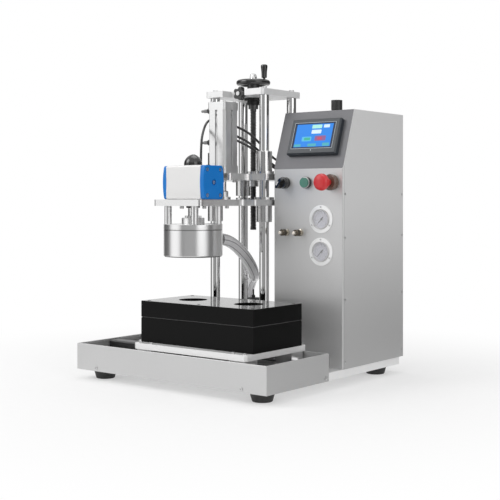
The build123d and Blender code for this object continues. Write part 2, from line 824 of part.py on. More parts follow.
# Chuck: stepped disc with a rubber faced cone that grips the cap
chuck_bottom = chuck_top - chuck_height
chuck = turned(
    [
        (0, 8), (chuck_throat_d / 2, 8), (chuck_mouth_d / 2, 0), (chuck_d / 2 - 1.5, 0), (chuck_d / 2, 1.5),
        (chuck_d / 2, 16), (chuck_d / 2 - 6, 18), (22, 18), (20, 20), (20, chuck_height - 1),
        (19, chuck_height), (0, chuck_height),
    ],
    (head_x, head_y, chuck_bottom),
)
write(chuck, "chuck")

# Chamber wall: turned ring, open below, with a groove for its seal and a port behind
outer = chamber_d / 2
inner_r = outer - chamber_wall_t
seal_mid = outer - chamber_wall_t / 2
wall_height = chamber_height - lid_thickness
port_base = Plane(origin=(head_x, head_y + inner_r, hose_port_z), x_dir=(-1, 0, 0), z_dir=(0, 1, 0))
wall_outline = [
    (inner_r, 0), (seal_mid - seal_width / 2, 0), (seal_mid - seal_width / 2, seal_depth),
    (seal_mid + seal_width / 2, seal_depth), (seal_mid + seal_width / 2, 0), (outer - 1.8, 0),
    (outer - 0.5, 0.6), (outer, 2), (outer, wall_height), (inner_r, wall_height),
]
with BuildPart() as chamber_wall:
    add(turned(wall_outline, (head_x, head_y, chamber_bottom)).part)
    with BuildSketch(port_base.offset(-2)):
        Circle(port_thread / 2)
    extrude(amount=chamber_wall_t + 3, mode=Mode.SUBTRACT)
write(chamber_wall, "chamber_wall")

# Hose port: hexagon nipple screwed into the chamber wall, closed on the hose by a clamp band
band_start = chamber_wall_t + 9.3
with BuildPart() as hose_port:
    with BuildSketch(port_base):
        Circle(port_thread / 2 - seat_gap)
    extrude(amount=chamber_wall_t + 1)
    with BuildSketch(port_base.offset(chamber_wall_t + 0.3)):
        RegularPolygon(14, 6)
    extrude(amount=9)
    with BuildSketch(port_base.offset(band_start)):
        Circle(hose_d / 2 + band_thickness)
    extrude(amount=hose_start_y - head_y - inner_r - band_start)
write(hose_port, "hose_port")

# Chamber seal: moulded ring that stands a little proud of its groove
chamber_seal = turned(
    [
        (seal_mid - seal_width / 2 + seat_gap, -seal_proud + 0.8), (seal_mid - 0.8, -seal_proud),
        (seal_mid + 0.8, -seal_proud), (seal_mid + seal_width / 2 - seat_gap, -seal_proud + 0.8),
        (seal_mid + seal_width / 2 - seat_gap, seal_depth),
        (seal_mid - seal_width / 2 + seat_gap, seal_depth),
    ],
    (head_x, head_y, chamber_bottom),
)
write(chamber_seal, "chamber_seal")

# Chamber lid: disc that closes the chamber, with a light groove at its joint
chamber_lid = turned(
    [
        (journal + running_gap, 0), (outer - 0.8, 0), (outer - 0.8, 0.8), (outer, 1.4),
        (outer, lid_thickness - 1), (outer - 1, lid_thickness), (journal + running_gap, lid_thickness),
    ],
    (head_x, head_y, lid_bottom),
)
write(chamber_lid, "chamber_lid")

# Chamber posts: four turned spacers between the head plate and the lid
post_spots = [
    (head_x + post_radius * cos(radians(45 + 90 * k)), head_y + post_radius * sin(radians(45 + 90 * k)))
    for k in range(4)
]
with BuildPart() as chamber_posts:
    with BuildSketch(Plane.XY.offset(chamber_top)):
        with Locations(*post_spots):
            Circle(post_d / 2)
    extrude(amount=head_bottom - chamber_top)
    chamfer(chamber_posts.edges().filter_by(GeomType.CIRCLE), 0.6)
write(chamber_posts, "chamber_posts")

# Spindle seal: flanged housing on the lid with four cap screws
with BuildPart() as spindle_seal:
    with BuildSketch(Plane.XY.offset(chamber_top)):
        with Locations((head_x, head_y)):
            Circle(bearing_cap_d / 2)
            Circle(journal + running_gap, mode=Mode.SUBTRACT)
    extrude(amount=bearing_cap_height)
    chamfer(spindle_seal.edges().filter_by(GeomType.CIRCLE).sort_by(SortBy.RADIUS)[-2:], 1)
    with BuildSketch(Plane.XY.offset(chamber_top + bearing_cap_height)):
        with Locations((head_x, head_y)):
            with PolarLocations(bearing_cap_d / 2 - 6.5, 4, start_angle=0):
                Circle(4.2)
    extrude(amount=5)
write(spindle_seal, "spindle_seal")

# Linear rails: supported shafts on T shaped feet along the base plate
rail_ys = (slide_y - rail_spacing / 2, slide_y + rail_spacing / 2)
with BuildPart() as linear_rails:
    with BuildSketch(Plane.YZ.offset(-rail_length / 2)):
        for y in rail_ys:
            with Locations((y, rail_axis)):
                Circle(rail_d / 2)
            with Locations((y, base_top + rail_foot_height / 2)):
                Rectangle(rail_foot_width, rail_foot_height)
            with Locations((y, (base_top + rail_axis) / 2)):
                Rectangle(rail_web, rail_above_base)
    extrude(amount=rail_length)
write(linear_rails, "linear_rails")

# Bearing blocks: four open blocks that run on the rails
block_xs = (slide_x - slide_length / 2 + block_end_inset, slide_x + slide_length / 2 - block_end_inset)
with BuildPart() as bearing_blocks:
    for x in block_xs:
        with BuildSketch(Plane.YZ.offset(x - block_side / 2)):
            for y in rail_ys:
                with Locations((y, slide_bottom - block_height / 2)):
                    Rectangle(block_side, block_height)
                with Locations((y, rail_axis)):
                    Circle(rail_d / 2 + running_gap, mode=Mode.SUBTRACT)
                with Locations((y, (rail_axis + slide_bottom - block_height) / 2 - 2)):
                    Rectangle(rail_web + 2, rail_axis - slide_bottom + block_height - 4, mode=Mode.SUBTRACT)
        extrude(amount=block_side)
write(bearing_blocks, "bearing_blocks")

# Slide plate: milled plate with rounded corners
with BuildPart() as slide_plate:
    with BuildSketch(Plane.XY.offset(slide_bottom)):
        with Locations((slide_x, slide_y)):
            RectangleRounded(slide_length, slide_width, plate_corner)
    extrude(amount=slide_thickness)
    chamfer(slide_plate.faces().sort_by(Axis.Z)[-1].edges(), 0.8)
write(slide_plate, "slide_plate")

# Fixture: two black blocks with a pair of nests, a light chamfer along their joint
nest_spots = [(head_x, head_y), (head_x + nest_pitch, head_y)]
with BuildPart() as fixture_base:
    with BuildSketch(Plane.XY.offset(slide_top)):
        with Locations((slide_x, head_y)):
            Rectangle(slide_length, fixture_width)
    extrude(amount=fixture_base_height)
    chamfer(fixture_base.faces().sort_by(Axis.Z)[-1].edges(), fixture_edge)
    with BuildSketch(Plane.XY.offset(nest_floor)):
        with Locations(*nest_spots):
            Circle(nest_d / 2)
    extrude(amount=fixture_joint - nest_floor, mode=Mode.SUBTRACT)
write(fixture_base, "fixture_base")

with BuildPart() as fixture_top:
    with BuildSketch(Plane.XY.offset(fixture_joint)):
        with Locations((slide_x, head_y)):
            Rectangle(slide_length, fixture_width)
    extrude(amount=fixture_top_height)
    chamfer(fixture_top.faces().sort_by(Axis.Z)[-1].edges(), 0.8)
    chamfer(fixture_top.faces().sort_by(Axis.Z)[0].edges(), fixture_edge)
    with BuildSketch(Plane.XY.offset(fixture_joint)):
        with Locations(*nest_spots):
            Circle(nest_d / 2)
    extrude(amount=fixture_top_height, mode=Mode.SUBTRACT)
write(fixture_top, "fixture_top")

# Shuttle cylinder: square tube on two feet between the rails
with BuildPart() as shuttle_cylinder:
    with BuildSketch(Plane.YZ.offset(shuttle_body_left)):
        with Locations((slide_y, shuttle_axis)):
            RectangleRounded(shuttle_side, shuttle_side, 4)
    extrude(amount=shuttle_body_length)
    with BuildSketch(Plane.YZ.offset(shuttle_body_left + shuttle_cap)):
        with Locations((slide_y, shuttle_axis)):
            Circle(shuttle_bore / 2)
    extrude(amount=shuttle_body_length - 2 * shuttle_cap, mode=Mode.SUBTRACT)
    with BuildSketch(Plane.YZ.offset(shuttle_body_left + shuttle_body_length - shuttle_cap)):
        with Locations((slide_y, shuttle_axis)):
            Circle(shuttle_rod_d / 2 + running_gap)
    extrude(amount=shuttle_cap, mode=Mode.SUBTRACT)
    foot_size = shuttle_axis - shuttle_side / 2 - base_top
    for x in (shuttle_body_left + 8, shuttle_body_left + shuttle_body_length - 8):
        with BuildSketch(Plane.XY.offset(base_top)):
            with Locations((x, slide_y)):
                Rectangle(shuttle_foot, shuttle_side + shuttle_foot_wings)
        extrude(amount=foot_size)
write(shuttle_cylinder, "shuttle_cylinder")

# Shuttle rod: piston, rod and the bracket that hangs from the slide plate
rod_end = bracket_x + bracket_thickness
piston_x = shuttle_body_left + shuttle_body_length - shuttle_cap - 3
with BuildPart() as shuttle_rod:
    with BuildSketch(Plane.YZ.offset(piston_x - shuttle_piston)):
        with Locations((slide_y, shuttle_axis)):
            Circle(shuttle_bore / 2 - running_gap)
    extrude(amount=shuttle_piston)
    with BuildSketch(Plane.YZ.offset(piston_x)):
        with Locations((slide_y, shuttle_axis)):
            Circle(shuttle_rod_d / 2)
    extrude(amount=rod_end + 6 - piston_x)
    with BuildSketch(Plane.YZ.offset(bracket_x)):
        with Locations((slide_y, (shuttle_axis - 10 + slide_bottom) / 2)):
            Rectangle(30, slide_bottom - shuttle_axis + 10)
    extrude(amount=bracket_thickness)
write(shuttle_rod, "shuttle_rod")

# Cabinet shell: brushed sheet box with a sloped panel, closed above and open on the base plate
with BuildPart() as cabinet_shell:
    with BuildSketch(Plane.YZ.offset(cabinet_left)):
        with BuildLine():
            Polyline(
                (cabinet_front, base_top), (cabinet_front, slope_start), (slope_top_y, cabinet_top),
                (cabinet_rear, cabinet_top), (cabinet_rear, base_top), close=True,
            )
        make_face()
    extrude(amount=cabinet_width)
    fillet(cabinet_shell.edges().filter_by(Axis.Z), cabinet_corner)
    offset(amount=-sheet, openings=cabinet_shell.faces().sort_by(Axis.Z)[0])
    with BuildSketch(facing_front(0, cabinet_front, 0)):
        with Locations(*[(x, control_z) for x in (selector_x, button_x, estop_x)]):
            Circle(11)
        with Locations(*[(gauge_x, z) for z in gauge_heights]):
            Circle(gauge_dial_d / 2 + 2)
        with Locations(*[(x, valve_z) for x in valve_spots]):
            Circle(6)
    extrude(amount=-2 * sheet, mode=Mode.SUBTRACT)
    with BuildSketch(Plane.XY.offset(cabinet_top - 2 * sheet)):
        with Locations(regulator_spot):
            Circle(10)
    extrude(amount=3 * sheet, mode=Mode.SUBTRACT)
write(cabinet_shell, "cabinet_shell")

# Touch panel: moulded housing on the slope and its glass
slope_up = (0, slope_run / slope_length, slope_rise / slope_length)
slope_out = (0, -slope_rise / slope_length, slope_run / slope_length)
screen_mid = screen_start + screen_length / 2
panel_at = (
    screen_x,
    cabinet_front + slope_up[1] * screen_mid,
    slope_start + slope_up[2] * screen_mid,
)
panel_plane = Plane(origin=panel_at, x_dir=(1, 0, 0), z_dir=slope_out)
with BuildPart() as hmi_housing:
    with BuildSketch(panel_plane):
        RectangleRounded(screen_width, screen_length, 3)
    extrude(amount=screen_proud - 4)
    with BuildSketch(panel_plane.offset(screen_proud - 4)):
        RectangleRounded(screen_width, screen_length, 3)
    extrude(amount=4, taper=40)
    with BuildSketch(panel_plane.offset(screen_proud)):
        with Locations((0, glass_shift)):
            Rectangle(glass_width, glass_length)
    extrude(amount=-2.5, mode=Mode.SUBTRACT)
write(hmi_housing, "hmi_housing")

with BuildPart() as hmi_screen:
    with BuildSketch(panel_plane.offset(screen_proud - 2.5)):
        with Locations((0, glass_shift)):
            Rectangle(glass_width - 0.6, glass_length - 0.6)
    extrude(amount=1.8)
write(hmi_screen, "hmi_screen")


def bezel_outline(x, z, outline):
    """Spins an outline about an axis that points at the operator from the cabinet's front."""
    return turned(outline, (x, cabinet_front, z), up=(0, -1, 0))


# Control bezels: black collars of the selector, the push button and the stop head
plunger_bore = 8.0
with BuildPart() as control_bezels:
    add(bezel_outline(selector_x, control_z, [
        (6.05, -14), (10.8, -14), (10.8, 0), (14.5, 0), (14.5, selector_collar - 1.5), (13, selector_collar),
        (6.05, selector_collar),
    ]).part)
    add(bezel_outline(button_x, control_z, [
        (plunger_bore + 0.1, -16), (10.8, -16), (10.8, 0), (14.5, 0), (14.5, button_collar - 1),
        (13.7, button_collar), (12.5, button_collar), (12.5, 3), (plunger_bore + 0.1, 3),
    ]).part)
    add(bezel_outline(estop_x, control_z, [
        (plunger_bore + 0.1, -16), (10.8, -16), (10.8, 0), (19.5, 0), (19.5, estop_collar - 4),
        (17, estop_collar), (plunger_bore + 0.1, estop_collar),
    ]).part)
write(control_bezels, "control_bezels")

# Selector knob: round skirt with a raised wing that points to the chosen mode
wing_angle = 235.0
selector_back = cabinet_front - selector_collar - soft_gap
with BuildPart() as selector_knob:
    with BuildSketch(facing_front(selector_x, selector_back, control_z)):
        Circle(13)
    extrude(amount=6, taper=8)
    with BuildSketch(facing_front(selector_x, selector_back, control_z, wing_angle)):
        with Locations((2.5, 0)):
            SlotOverall(29, 8.5)
    extrude(amount=17, taper=3)
    with BuildSketch(facing_front(selector_x, selector_back, control_z)):
        Circle(6)
    extrude(amount=-selector_collar - soft_gap - 12)
write(selector_knob, "selector_knob")

# Push button: flat green cap on its plunger, clear of its seat by its travel
button_back = cabinet_front - 3 - knob_travel - soft_gap
with BuildPart() as green_button:
    with BuildSketch(facing_front(button_x, button_back, control_z)):
        Circle(12.3)
    extrude(amount=6)
    fillet(green_button.faces().sort_by(Axis.Y)[0].edges(), 0.8)
    with BuildSketch(facing_front(button_x, button_back, control_z)):
        Circle(plunger_bore)
    extrude(amount=-knob_travel - 16)
write(green_button, "green_button")

# Stop head: red mushroom with a conical neck and a rounded rim, clear of its collar by its travel
neck_start = estop_collar + knob_travel + soft_gap
rim_start = neck_start + 18
estop_head = bezel_outline(estop_x, control_z, [
    (0, -10), (plunger_bore, -10), (plunger_bore, neck_start), (9.8, neck_start), (16.5, rim_start),
    (19.6, rim_start + 3), (20.5, rim_start + 7), (19.7, rim_start + 12), (17, rim_start + 16),
    (12.5, rim_start + 18.5), (6, rim_start + 19.8), (0, rim_start + 20.2),
])
write(estop_head, "estop_head")

# Gauges: chromed front flange with a lip, a cup behind the panel, a pivot, a needle and a lens
dial_r = gauge_dial_d / 2
gauge_outline = [
    (0, -gauge_depth), (dial_r, -gauge_depth), (dial_r + 1.8, -gauge_depth + 2), (dial_r + 1.8, 0),
    (gauge_flange_d / 2, 0), (gauge_flange_d / 2, 1.6), (dial_r + 3, 2.2), (dial_r + 2.5, gauge_proud),
    (dial_r + 0.8, gauge_proud), (dial_r, gauge_proud - 0.8), (dial_r, -2), (0, -2),
]
with BuildPart() as gauge_cases:
    for z in gauge_heights:
        add(bezel_outline(gauge_x, z, gauge_outline).part)
        with BuildSketch(facing_front(gauge_x, cabinet_front - 0.8, z)):
            with PolarLocations(dial_r + 7.5, 3, start_angle=90):
                Circle(2.1)
        extrude(amount=2.6)
write(gauge_cases, "gauge_cases")

with BuildPart() as gauge_lenses:
    for z in gauge_heights:
        with BuildSketch(facing_front(gauge_x, cabinet_front - gauge_proud + 2.4, z)):
            Circle(dial_r - 0.1)
        extrude(amount=1.6)
write(gauge_lenses, "gauge_lenses")

needle_angles = (225.0, 225.0)
for z, angle, name in zip(gauge_heights, needle_angles, ("gauge_needle_lower", "gauge_needle_upper")):
    with BuildPart() as needle:
        with BuildSketch(facing_front(gauge_x, cabinet_front + 1.6, z, angle)):
            Polygon((-7, -1.2), (-7, 1.2), (0, 1.0), (17, 0.35), (17, -0.35), (0, -1.0), align=None)
            Circle(3)
        extrude(amount=1.2)
    write(needle, name)

# Panel valves: nickel bodies through the panel, and the regulator's bonnet on the cabinet top
with BuildPart() as panel_valve_bodies:
    for x in valve_spots:
        add(bezel_outline(x, valve_z, [
            (3.05, -26), (5.9, -26), (5.9, 0), (9, 0), (9, 4), (6.5, 5), (6.5, valve_body),
            (3.05, valve_body),
        ]).part)
    add(turned([
        (4.05, -40), (9.9, -40), (9.9, 0), (13, 0), (13, 4), (11, 5), (4.05, 5),
    ], (regulator_spot[0], regulator_spot[1], cabinet_top)).part)
write(panel_valve_bodies, "panel_valve_bodies")

knurl_start = valve_body + soft_gap
for x, name in zip(valve_spots, ("valve_knob_left", "valve_knob_right")):
    with BuildPart() as knob:
        add(bezel_outline(x, valve_z, [
            (0, -6), (3, -6), (3, knurl_start), (7.2, knurl_start), (8, knurl_start + 0.9),
            (8, knurl_start + 13), (7.2, knurl_start + 14), (4.2, knurl_start + 14),
            (4.2, knurl_start + 22.5), (3.2, knurl_start + 24), (0, knurl_start + 24),
        ]).part)
        with BuildSketch(facing_front(x, cabinet_front - knurl_start - 0.9, valve_z)):
            with PolarLocations(8.2, 12):
                Circle(0.9)
        extrude(amount=12.1, mode=Mode.SUBTRACT)
    write(knob, name)

# Regulator knob: fluted cap that turns on the bonnet
with BuildPart() as regulator_knob:
    with BuildSketch(Plane.XY.offset(cabinet_top + 5.3)):
        with Locations(regulator_spot):
            Circle(14)
            with PolarLocations(14.6, 16):
                Circle(1.3, mode=Mode.SUBTRACT)
    extrude(amount=24.7)
    fillet(regulator_knob.faces().sort_by(Axis.Z)[-1].edges(), 1)
    with BuildSketch(Plane.XY.offset(cabinet_top - 20)):
        with Locations(regulator_spot):
            Circle(4)
    extrude(amount=25.3)
write(regulator_knob, "regulator_knob")

# Vacuum filter: bowl and head on the base plate behind the columns, and the barb for the hose
filter_spot = (171.0 - machine_width / 2, base_rear - 70.5)
barb_spot = (103.0 - machine_width / 2, base_rear - 23.5)
barb_hex = 22.0
hose_end_z = 84.0
with BuildPart() as vacuum_filter:
    add(turned([
        (0, 0), (22, 0), (22, 8), (12, 9), (12, 30), (17, 36), (18, 90), (18, 100), (20, 101), (20, 132),
        (18, 133), (5, 133), (5, 140), (2.5, 141), (2.5, 156), (0, 156),
    ], (filter_spot[0], filter_spot[1], base_top)).part)
    with BuildSketch(Plane.XY.offset(base_top)):
        with Locations(barb_spot):
            RegularPolygon(18, 6)
    extrude(amount=barb_hex)
    with BuildSketch(Plane.XY.offset(base_top + barb_hex)):
        with Locations(barb_spot):
            Circle(hose_d / 2 + band_thickness)
    extrude(amount=hose_end_z - base_top - barb_hex)
    with BuildSketch(Plane(origin=(barb_spot[0], barb_spot[1], base_top + 12), x_dir=(0, 0, 1),
                           z_dir=(filter_spot[0] - barb_spot[0], filter_spot[1] - barb_spot[1], 0))):
        Circle(8)
    extrude(amount=sqrt((filter_spot[0] - barb_spot[0])**2 + (filter_spot[1] - barb_spot[1])**2))
write(vacuum_filter, "vacuum_filter")


def corner_radii(points):
    """Largest tangent arcs that leave a tenth of each shorter run straight."""
    radii = []
    for before, here, after in zip(points, points[1:], points[2:]):
        run_in = Vector(here) - Vector(before)
        run_out = Vector(after) - Vector(here)
        turn = radians(run_in.get_angle(run_out))
        radii.append(0.45 * min(run_in.length, run_out.length) / tan(turn / 2))
    return radii


def laid_tube(name, points, diameter):
    """A plain round tube along straight runs and tangent arcs, with its length and radii printed."""
    radii = corner_radii(points)
    start = Vector(points[1]) - Vector(points[0])
    with BuildPart() as tube:
        with BuildLine():
            route = FilletPolyline(*points, radius=radii)
        with BuildSketch(Plane(origin=points[0], z_dir=start)):
            Circle(diameter / 2)
        sweep(path=route)
    length = route.length
    volume = tube.part.volume / (pi * diameter**2 / 4 * length)
    bends = [round(radius, 1) for radius in radii]
    print(name, "length", round(length, 1), "radii", bends, "volume ratio", round(volume, 4))
    write(tube, name)


# Vacuum hose: from the chamber port down between the columns, then to the filter's barb
hose_front_route = [
    (head_x, hose_start_y, hose_port_z), (head_x, -38, hose_port_z), (head_x, 22, 316), (-27, 70, 275),
    (-52, 115, 241), (-95, 170, 241),
]
hose_rear_route = [
    (-95.2, 170.3, 241), (-129.6, 214.3, 241), (-166, 240, 212), (-190, 252, 164),
    (barb_spot[0], barb_spot[1], 119), (barb_spot[0], barb_spot[1], hose_end_z),
]
laid_tube("vacuum_hose_front", hose_front_route, hose_d)
laid_tube("vacuum_hose_rear", hose_rear_route, hose_d)

# Air tubes: one from the actuator's port to the clip, three from the clip to the cabinet
clip_left = head_x - clip_width / 2
clip_right = head_x + clip_width / 2
clip_y = cylinder_back + clip_depth / 2
port_top = actuator_mid + 26.5 + 18
cabinet_end = cabinet_left - soft_gap
actuator_route = [
    (head_x - port_side, port_y, port_top), (head_x - port_side, port_y, 586), (-50, -100, 618),
    (-68, -64, 648), (-73, -36, 656), (-64, -18, 651), (-51, clip_y, 641),
    (clip_left - soft_gap, clip_y, 640),
]
upper_route = [
    (clip_right, clip_y, 636), (12, 1, 625), (38, 27, 590), (52, 50, 560), (66, 70, 545), (80, 80, 541),
    (cabinet_end, 80, 541),
]
middle_route = [
    (clip_right, clip_y, 612), (12, 1, 600), (38, 29, 568), (52, 53, 540), (66, 73, 527), (80, 83, 523),
    (cabinet_end, 83, 523),
]
lower_route = [
    (clip_right, clip_y, 601), (12, 9, 588), (36, 39, 554), (50, 63, 531), (64, 84, 522), (78, 94, 520),
    (cabinet_end, 94, 520),
]
laid_tube("actuator_air_tube", actuator_route, tube_d)
laid_tube("air_tube_upper", upper_route, tube_d)
laid_tube("air_tube_middle", middle_route, tube_d)
laid_tube("air_tube_lower", lower_route, tube_d)
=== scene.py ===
"""Jar vacuum capping machine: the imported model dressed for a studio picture, in metres.

The model's own solids keep their places. This script gives each one its finish and adds what a
solid leaves out: screws, thread, dials, screen, hoses and tubes.
"""
import math

import bmesh
import bpy
from mathutils import Matrix, Vector


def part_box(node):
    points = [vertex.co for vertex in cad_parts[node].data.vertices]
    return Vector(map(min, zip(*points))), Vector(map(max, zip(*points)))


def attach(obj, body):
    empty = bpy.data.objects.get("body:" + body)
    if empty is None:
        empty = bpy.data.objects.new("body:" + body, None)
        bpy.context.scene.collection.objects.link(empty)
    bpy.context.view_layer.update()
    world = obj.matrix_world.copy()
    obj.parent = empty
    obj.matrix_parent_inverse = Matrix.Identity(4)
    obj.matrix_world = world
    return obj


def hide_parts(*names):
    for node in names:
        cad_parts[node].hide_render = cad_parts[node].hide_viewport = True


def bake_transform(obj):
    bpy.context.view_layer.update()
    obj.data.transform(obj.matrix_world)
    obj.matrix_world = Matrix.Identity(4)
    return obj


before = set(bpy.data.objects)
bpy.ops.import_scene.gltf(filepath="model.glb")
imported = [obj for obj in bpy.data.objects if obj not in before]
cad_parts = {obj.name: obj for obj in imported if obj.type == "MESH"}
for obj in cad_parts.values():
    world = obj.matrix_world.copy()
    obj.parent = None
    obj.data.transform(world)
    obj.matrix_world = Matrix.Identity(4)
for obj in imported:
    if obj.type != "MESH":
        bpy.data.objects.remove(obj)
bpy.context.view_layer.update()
mm = 0.001

# Camera: it stands level at the operator's right, a little over half the machine's height, and its
# lens is shifted down so that the feet stay in the picture.
sensor_width = 36.0
picture_width = 500.0
focal_pixels = 1046.14
horizon_row = 198.8
turned_left = math.radians(38.335)

camera_at = (1.67525, -2.08994, 0.45134)

camera = bpy.data.objects.new("camera", bpy.data.cameras.new("camera"))
bpy.context.collection.objects.link(camera)
camera.location = camera_at
camera.rotation_euler = (math.pi / 2, 0, turned_left)
camera.data.sensor_width = sensor_width
camera.data.lens = sensor_width * focal_pixels / picture_width
camera.data.shift_y = (horizon_row - picture_width / 2) / picture_width
bpy.context.scene.camera = camera
bpy.context.scene.view_settings.view_transform = "Standard"


# Studio: a pale floor that runs out to white, soft lamps above, and a sky that metal reflects.
# In metal the room is dark but for the backdrop, three tall soft panels and a light overhead.
class Wire:
    """A shader socket in sums: mask * 0.2 + 0.4 adds the Math nodes that it needs."""

    def __init__(self, surface, socket):
        self.surface = surface
        self.socket = socket

    def maths(self, operation, *values):
        return self.surface.node("Math", {"operation": operation}, dict(enumerate(values)))

    def __add__(self, other):
        return self.maths("ADD", self, other)

    def __sub__(self, other):
        return self.maths("SUBTRACT", self, other)

    def __rsub__(self, other):
        return self.maths("SUBTRACT", other, self)

    def __mul__(self, other):
        return self.maths("MULTIPLY", self, other)

    def __gt__(self, other):
        return self.maths("GREATER_THAN", self, other)

    def __lt__(self, other):
        return self.maths("LESS_THAN", self, other)

    def ramp(self, low, high):
        """Runs from 0 at `low` to 1 at `high`, and stays there."""
        smooth = {"interpolation_type": "SMOOTHSTEP"}
        return self.surface.node("MapRange", smooth, {0: self, 1: low, 2: high})


class Surface:
    """A node tree that grows by one call for each node."""

    def __init__(self, owner):
        owner.use_nodes = True
        self.tree = owner.node_tree
        self.tree.nodes.clear()

    def node(self, kind, settings=None, inputs=None, output=0):
        made = self.tree.nodes.new("ShaderNode" + kind)
        for name, value in (settings or {}).items():
            setattr(made, name, value)
        for name, value in (inputs or {}).items():
            if isinstance(value, Wire):
                self.tree.links.new(value.socket, made.inputs[name])
            else:
                made.inputs[name].default_value = value
        return Wire(self, made.outputs[output]) if made.outputs else made

    def mix(self, share, first, second):
        """A colour between two colours."""
        return self.node("Mix", {"data_type": "RGBA"}, {0: share, 6: first, 7: second}, 2)

    def along(self, vector, direction):
        """How far a vector reaches in a direction."""
        return self.node("VectorMath", {"operation": "DOT_PRODUCT"}, {0: vector, 1: direction}, 1)

    def seen_plainly(self):
        """1 for what the camera sees, also in metal and through glass."""
        camera, mirror, glass = [self.node("LightPath", output=n) for n in (0, 3, 6)]
        return camera.maths("MAXIMUM", camera, mirror.maths("MAXIMUM", mirror, glass))


white = (1.0, 1.0, 1.0, 1.0)
studio = bpy.context.scene.world or bpy.data.worlds.new("studio")
bpy.context.scene.world = studio
sky = Surface(studio)
look_x = -math.sin(turned_left)
look_y = math.cos(turned_left)
room = sky.node("TexCoord")
ahead = sky.along(room, (look_x, look_y, 0.0))
rightward = sky.along(room, (look_y, -look_x, 0.0))
upward = sky.along(room, (0.0, 0.0, 1.0))
bearing = rightward.maths("ARCTAN2", rightward, ahead * -1) * (180 / math.pi)


def soft_panel(start, end, soft=5.0):
    """1 between two bearings in degrees; the camera is at 0 and its right hand is positive."""
    return bearing.ramp(start - soft, start + soft) - bearing.ramp(end - soft, end + soft)


dark_room = 0.1
panels = soft_panel(-96, -48) * 0.95 + soft_panel(-36, 8) * 0.25 + soft_panel(18, 60) * 0.75
backdrop = ahead.ramp(0.84, 0.93) * 0.8
overhead = upward.ramp(0.3, 0.6) * 0.7
reflected = panels + backdrop + overhead + dark_room
camera_ray = sky.node("LightPath")
in_metal = sky.node("LightPath", output=3)
through_glass = sky.node("LightPath", output=6)
sky_light = 0.62
level = (camera_ray + through_glass) * (1 - sky_light) + in_metal * (reflected - sky_light) + sky_light
background = sky.node("Background", inputs={"Color": white, "Strength": level.maths("MINIMUM", level, 1.0)})
sky.node("OutputWorld", inputs={"Surface": background})

floor_reach = 6.0
floor_mesh = bpy.data.meshes.new("floor")
corners = [(x * floor_reach, y * floor_reach, 0) for x, y in ((-1, -1), (1, -1), (1, 1), (-1, 1))]
floor_mesh.from_pydata(corners, [], [(0, 1, 2, 3)])
floor = bpy.data.objects.new("floor", floor_mesh)
bpy.context.collection.objects.link(floor)
floor_paint = bpy.data.materials.new("floor paint")
floor_mesh.materials.append(floor_paint)
ground = Surface(floor_paint)
spot = ground.node("TexCoord", output=3)
away = ground.node("VectorMath", {"operation": "LENGTH"}, {0: spot}, 1).ramp(0.4, 1.2)
fibres = ground.node("TexNoise", inputs={"Vector": spot, "Scale": 40.0})
paper_white = ground.mix(fibres, (0.94, 0.94, 0.94, 1), (0.97, 0.97, 0.97, 1))
matt = ground.node("BsdfDiffuse", inputs={"Color": paper_white})
glow = ground.node("Emission", inputs={"Color": white})
glowing = (away * 0.6 + 0.4) * ground.seen_plainly()
paper = ground.node("MixShader", inputs={0: glowing, 1: matt, 2: glow})
clear = ground.node("BsdfTransparent")
in_mirror = ground.node("LightPath", output=3)
fading = ground.node("MixShader", inputs={0: away * in_mirror, 1: paper, 2: clear})
ground.node("OutputMaterial", inputs={0: fading})


machine_middle = Vector((0, 0, 0.35))


def lamp(name, at, width, power):
    """A square soft lamp that looks at the middle of the machine."""
    data = bpy.data.lights.new(name, "AREA")
    data.size = width
    data.energy = power
    made = bpy.data.objects.new(name, data)
    bpy.context.collection.objects.link(made)
    made.location = at
    made.rotation_euler = (machine_middle - Vector(at)).to_track_quat("-Z", "Y").to_euler()


lamp("key", (-1.3, -1.7, 1.9), 1.2, 17)
lamp("fill", (2.3, -0.9, 1.2), 1.4, 7)
lamp("top", (0.0, 0.3, 2.6), 1.6, 13)


# Vacuum hose and air tubes: clear hose with dark marking lines from the chamber to the filter, and
# black tube to the actuator and the cylinder, cut to length and pushed on barbs and fittings.
class Finish(Surface):
    """A material and the slot of the record that it belongs to."""

    def __init__(self, name, slot):
        self.material = bpy.data.materials.new(name)
        super().__init__(self.material)
        self.slot = slot
        self.place = self.node("TexCoord", output=3)

    def noise(self, scale, stretch=(1.0, 1.0, 1.0), detail=2.0):
        """Soft random values about 0.5, drawn out along the axes with a small stretch."""
        spot = self.node("Mapping", inputs={"Vector": self.place, "Scale": stretch})
        return self.node("TexNoise", inputs={"Vector": spot, "Scale": scale, "Detail": detail})

    def cover(self, base, roughness, metallic=0.0, height=None, depth=0.0001, **constants):
        """Ends the tree in the Principled shader."""
        inputs = {"Base Color": base, "Roughness": roughness, "Metallic": metallic}
        inputs.update({name.replace("_", " "): value for name, value in constants.items()})
        if height is not None:
            bump = {"Strength": 1.0, "Distance": depth, "Height": height}
            inputs["Normal"] = self.node("Bump", inputs=bump)
        shader = self.node("BsdfPrincipled", inputs=inputs)
        self.node("OutputMaterial", inputs={"Surface": shader})


def grey(value):
    return (value, value, value, 1.0)


def piece(name, mesh, finish, body, sharp=35):
    """Links a mesh as a piece of the machine that rides on a body."""
    mesh.materials.append(finish.material)
    mesh.shade_smooth()
    mesh.set_sharp_from_angle(angle=math.radians(sharp))
    made = bpy.data.objects.new(name, mesh)
    bpy.context.collection.objects.link(made)
    if body:
        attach(made, body)
    return made


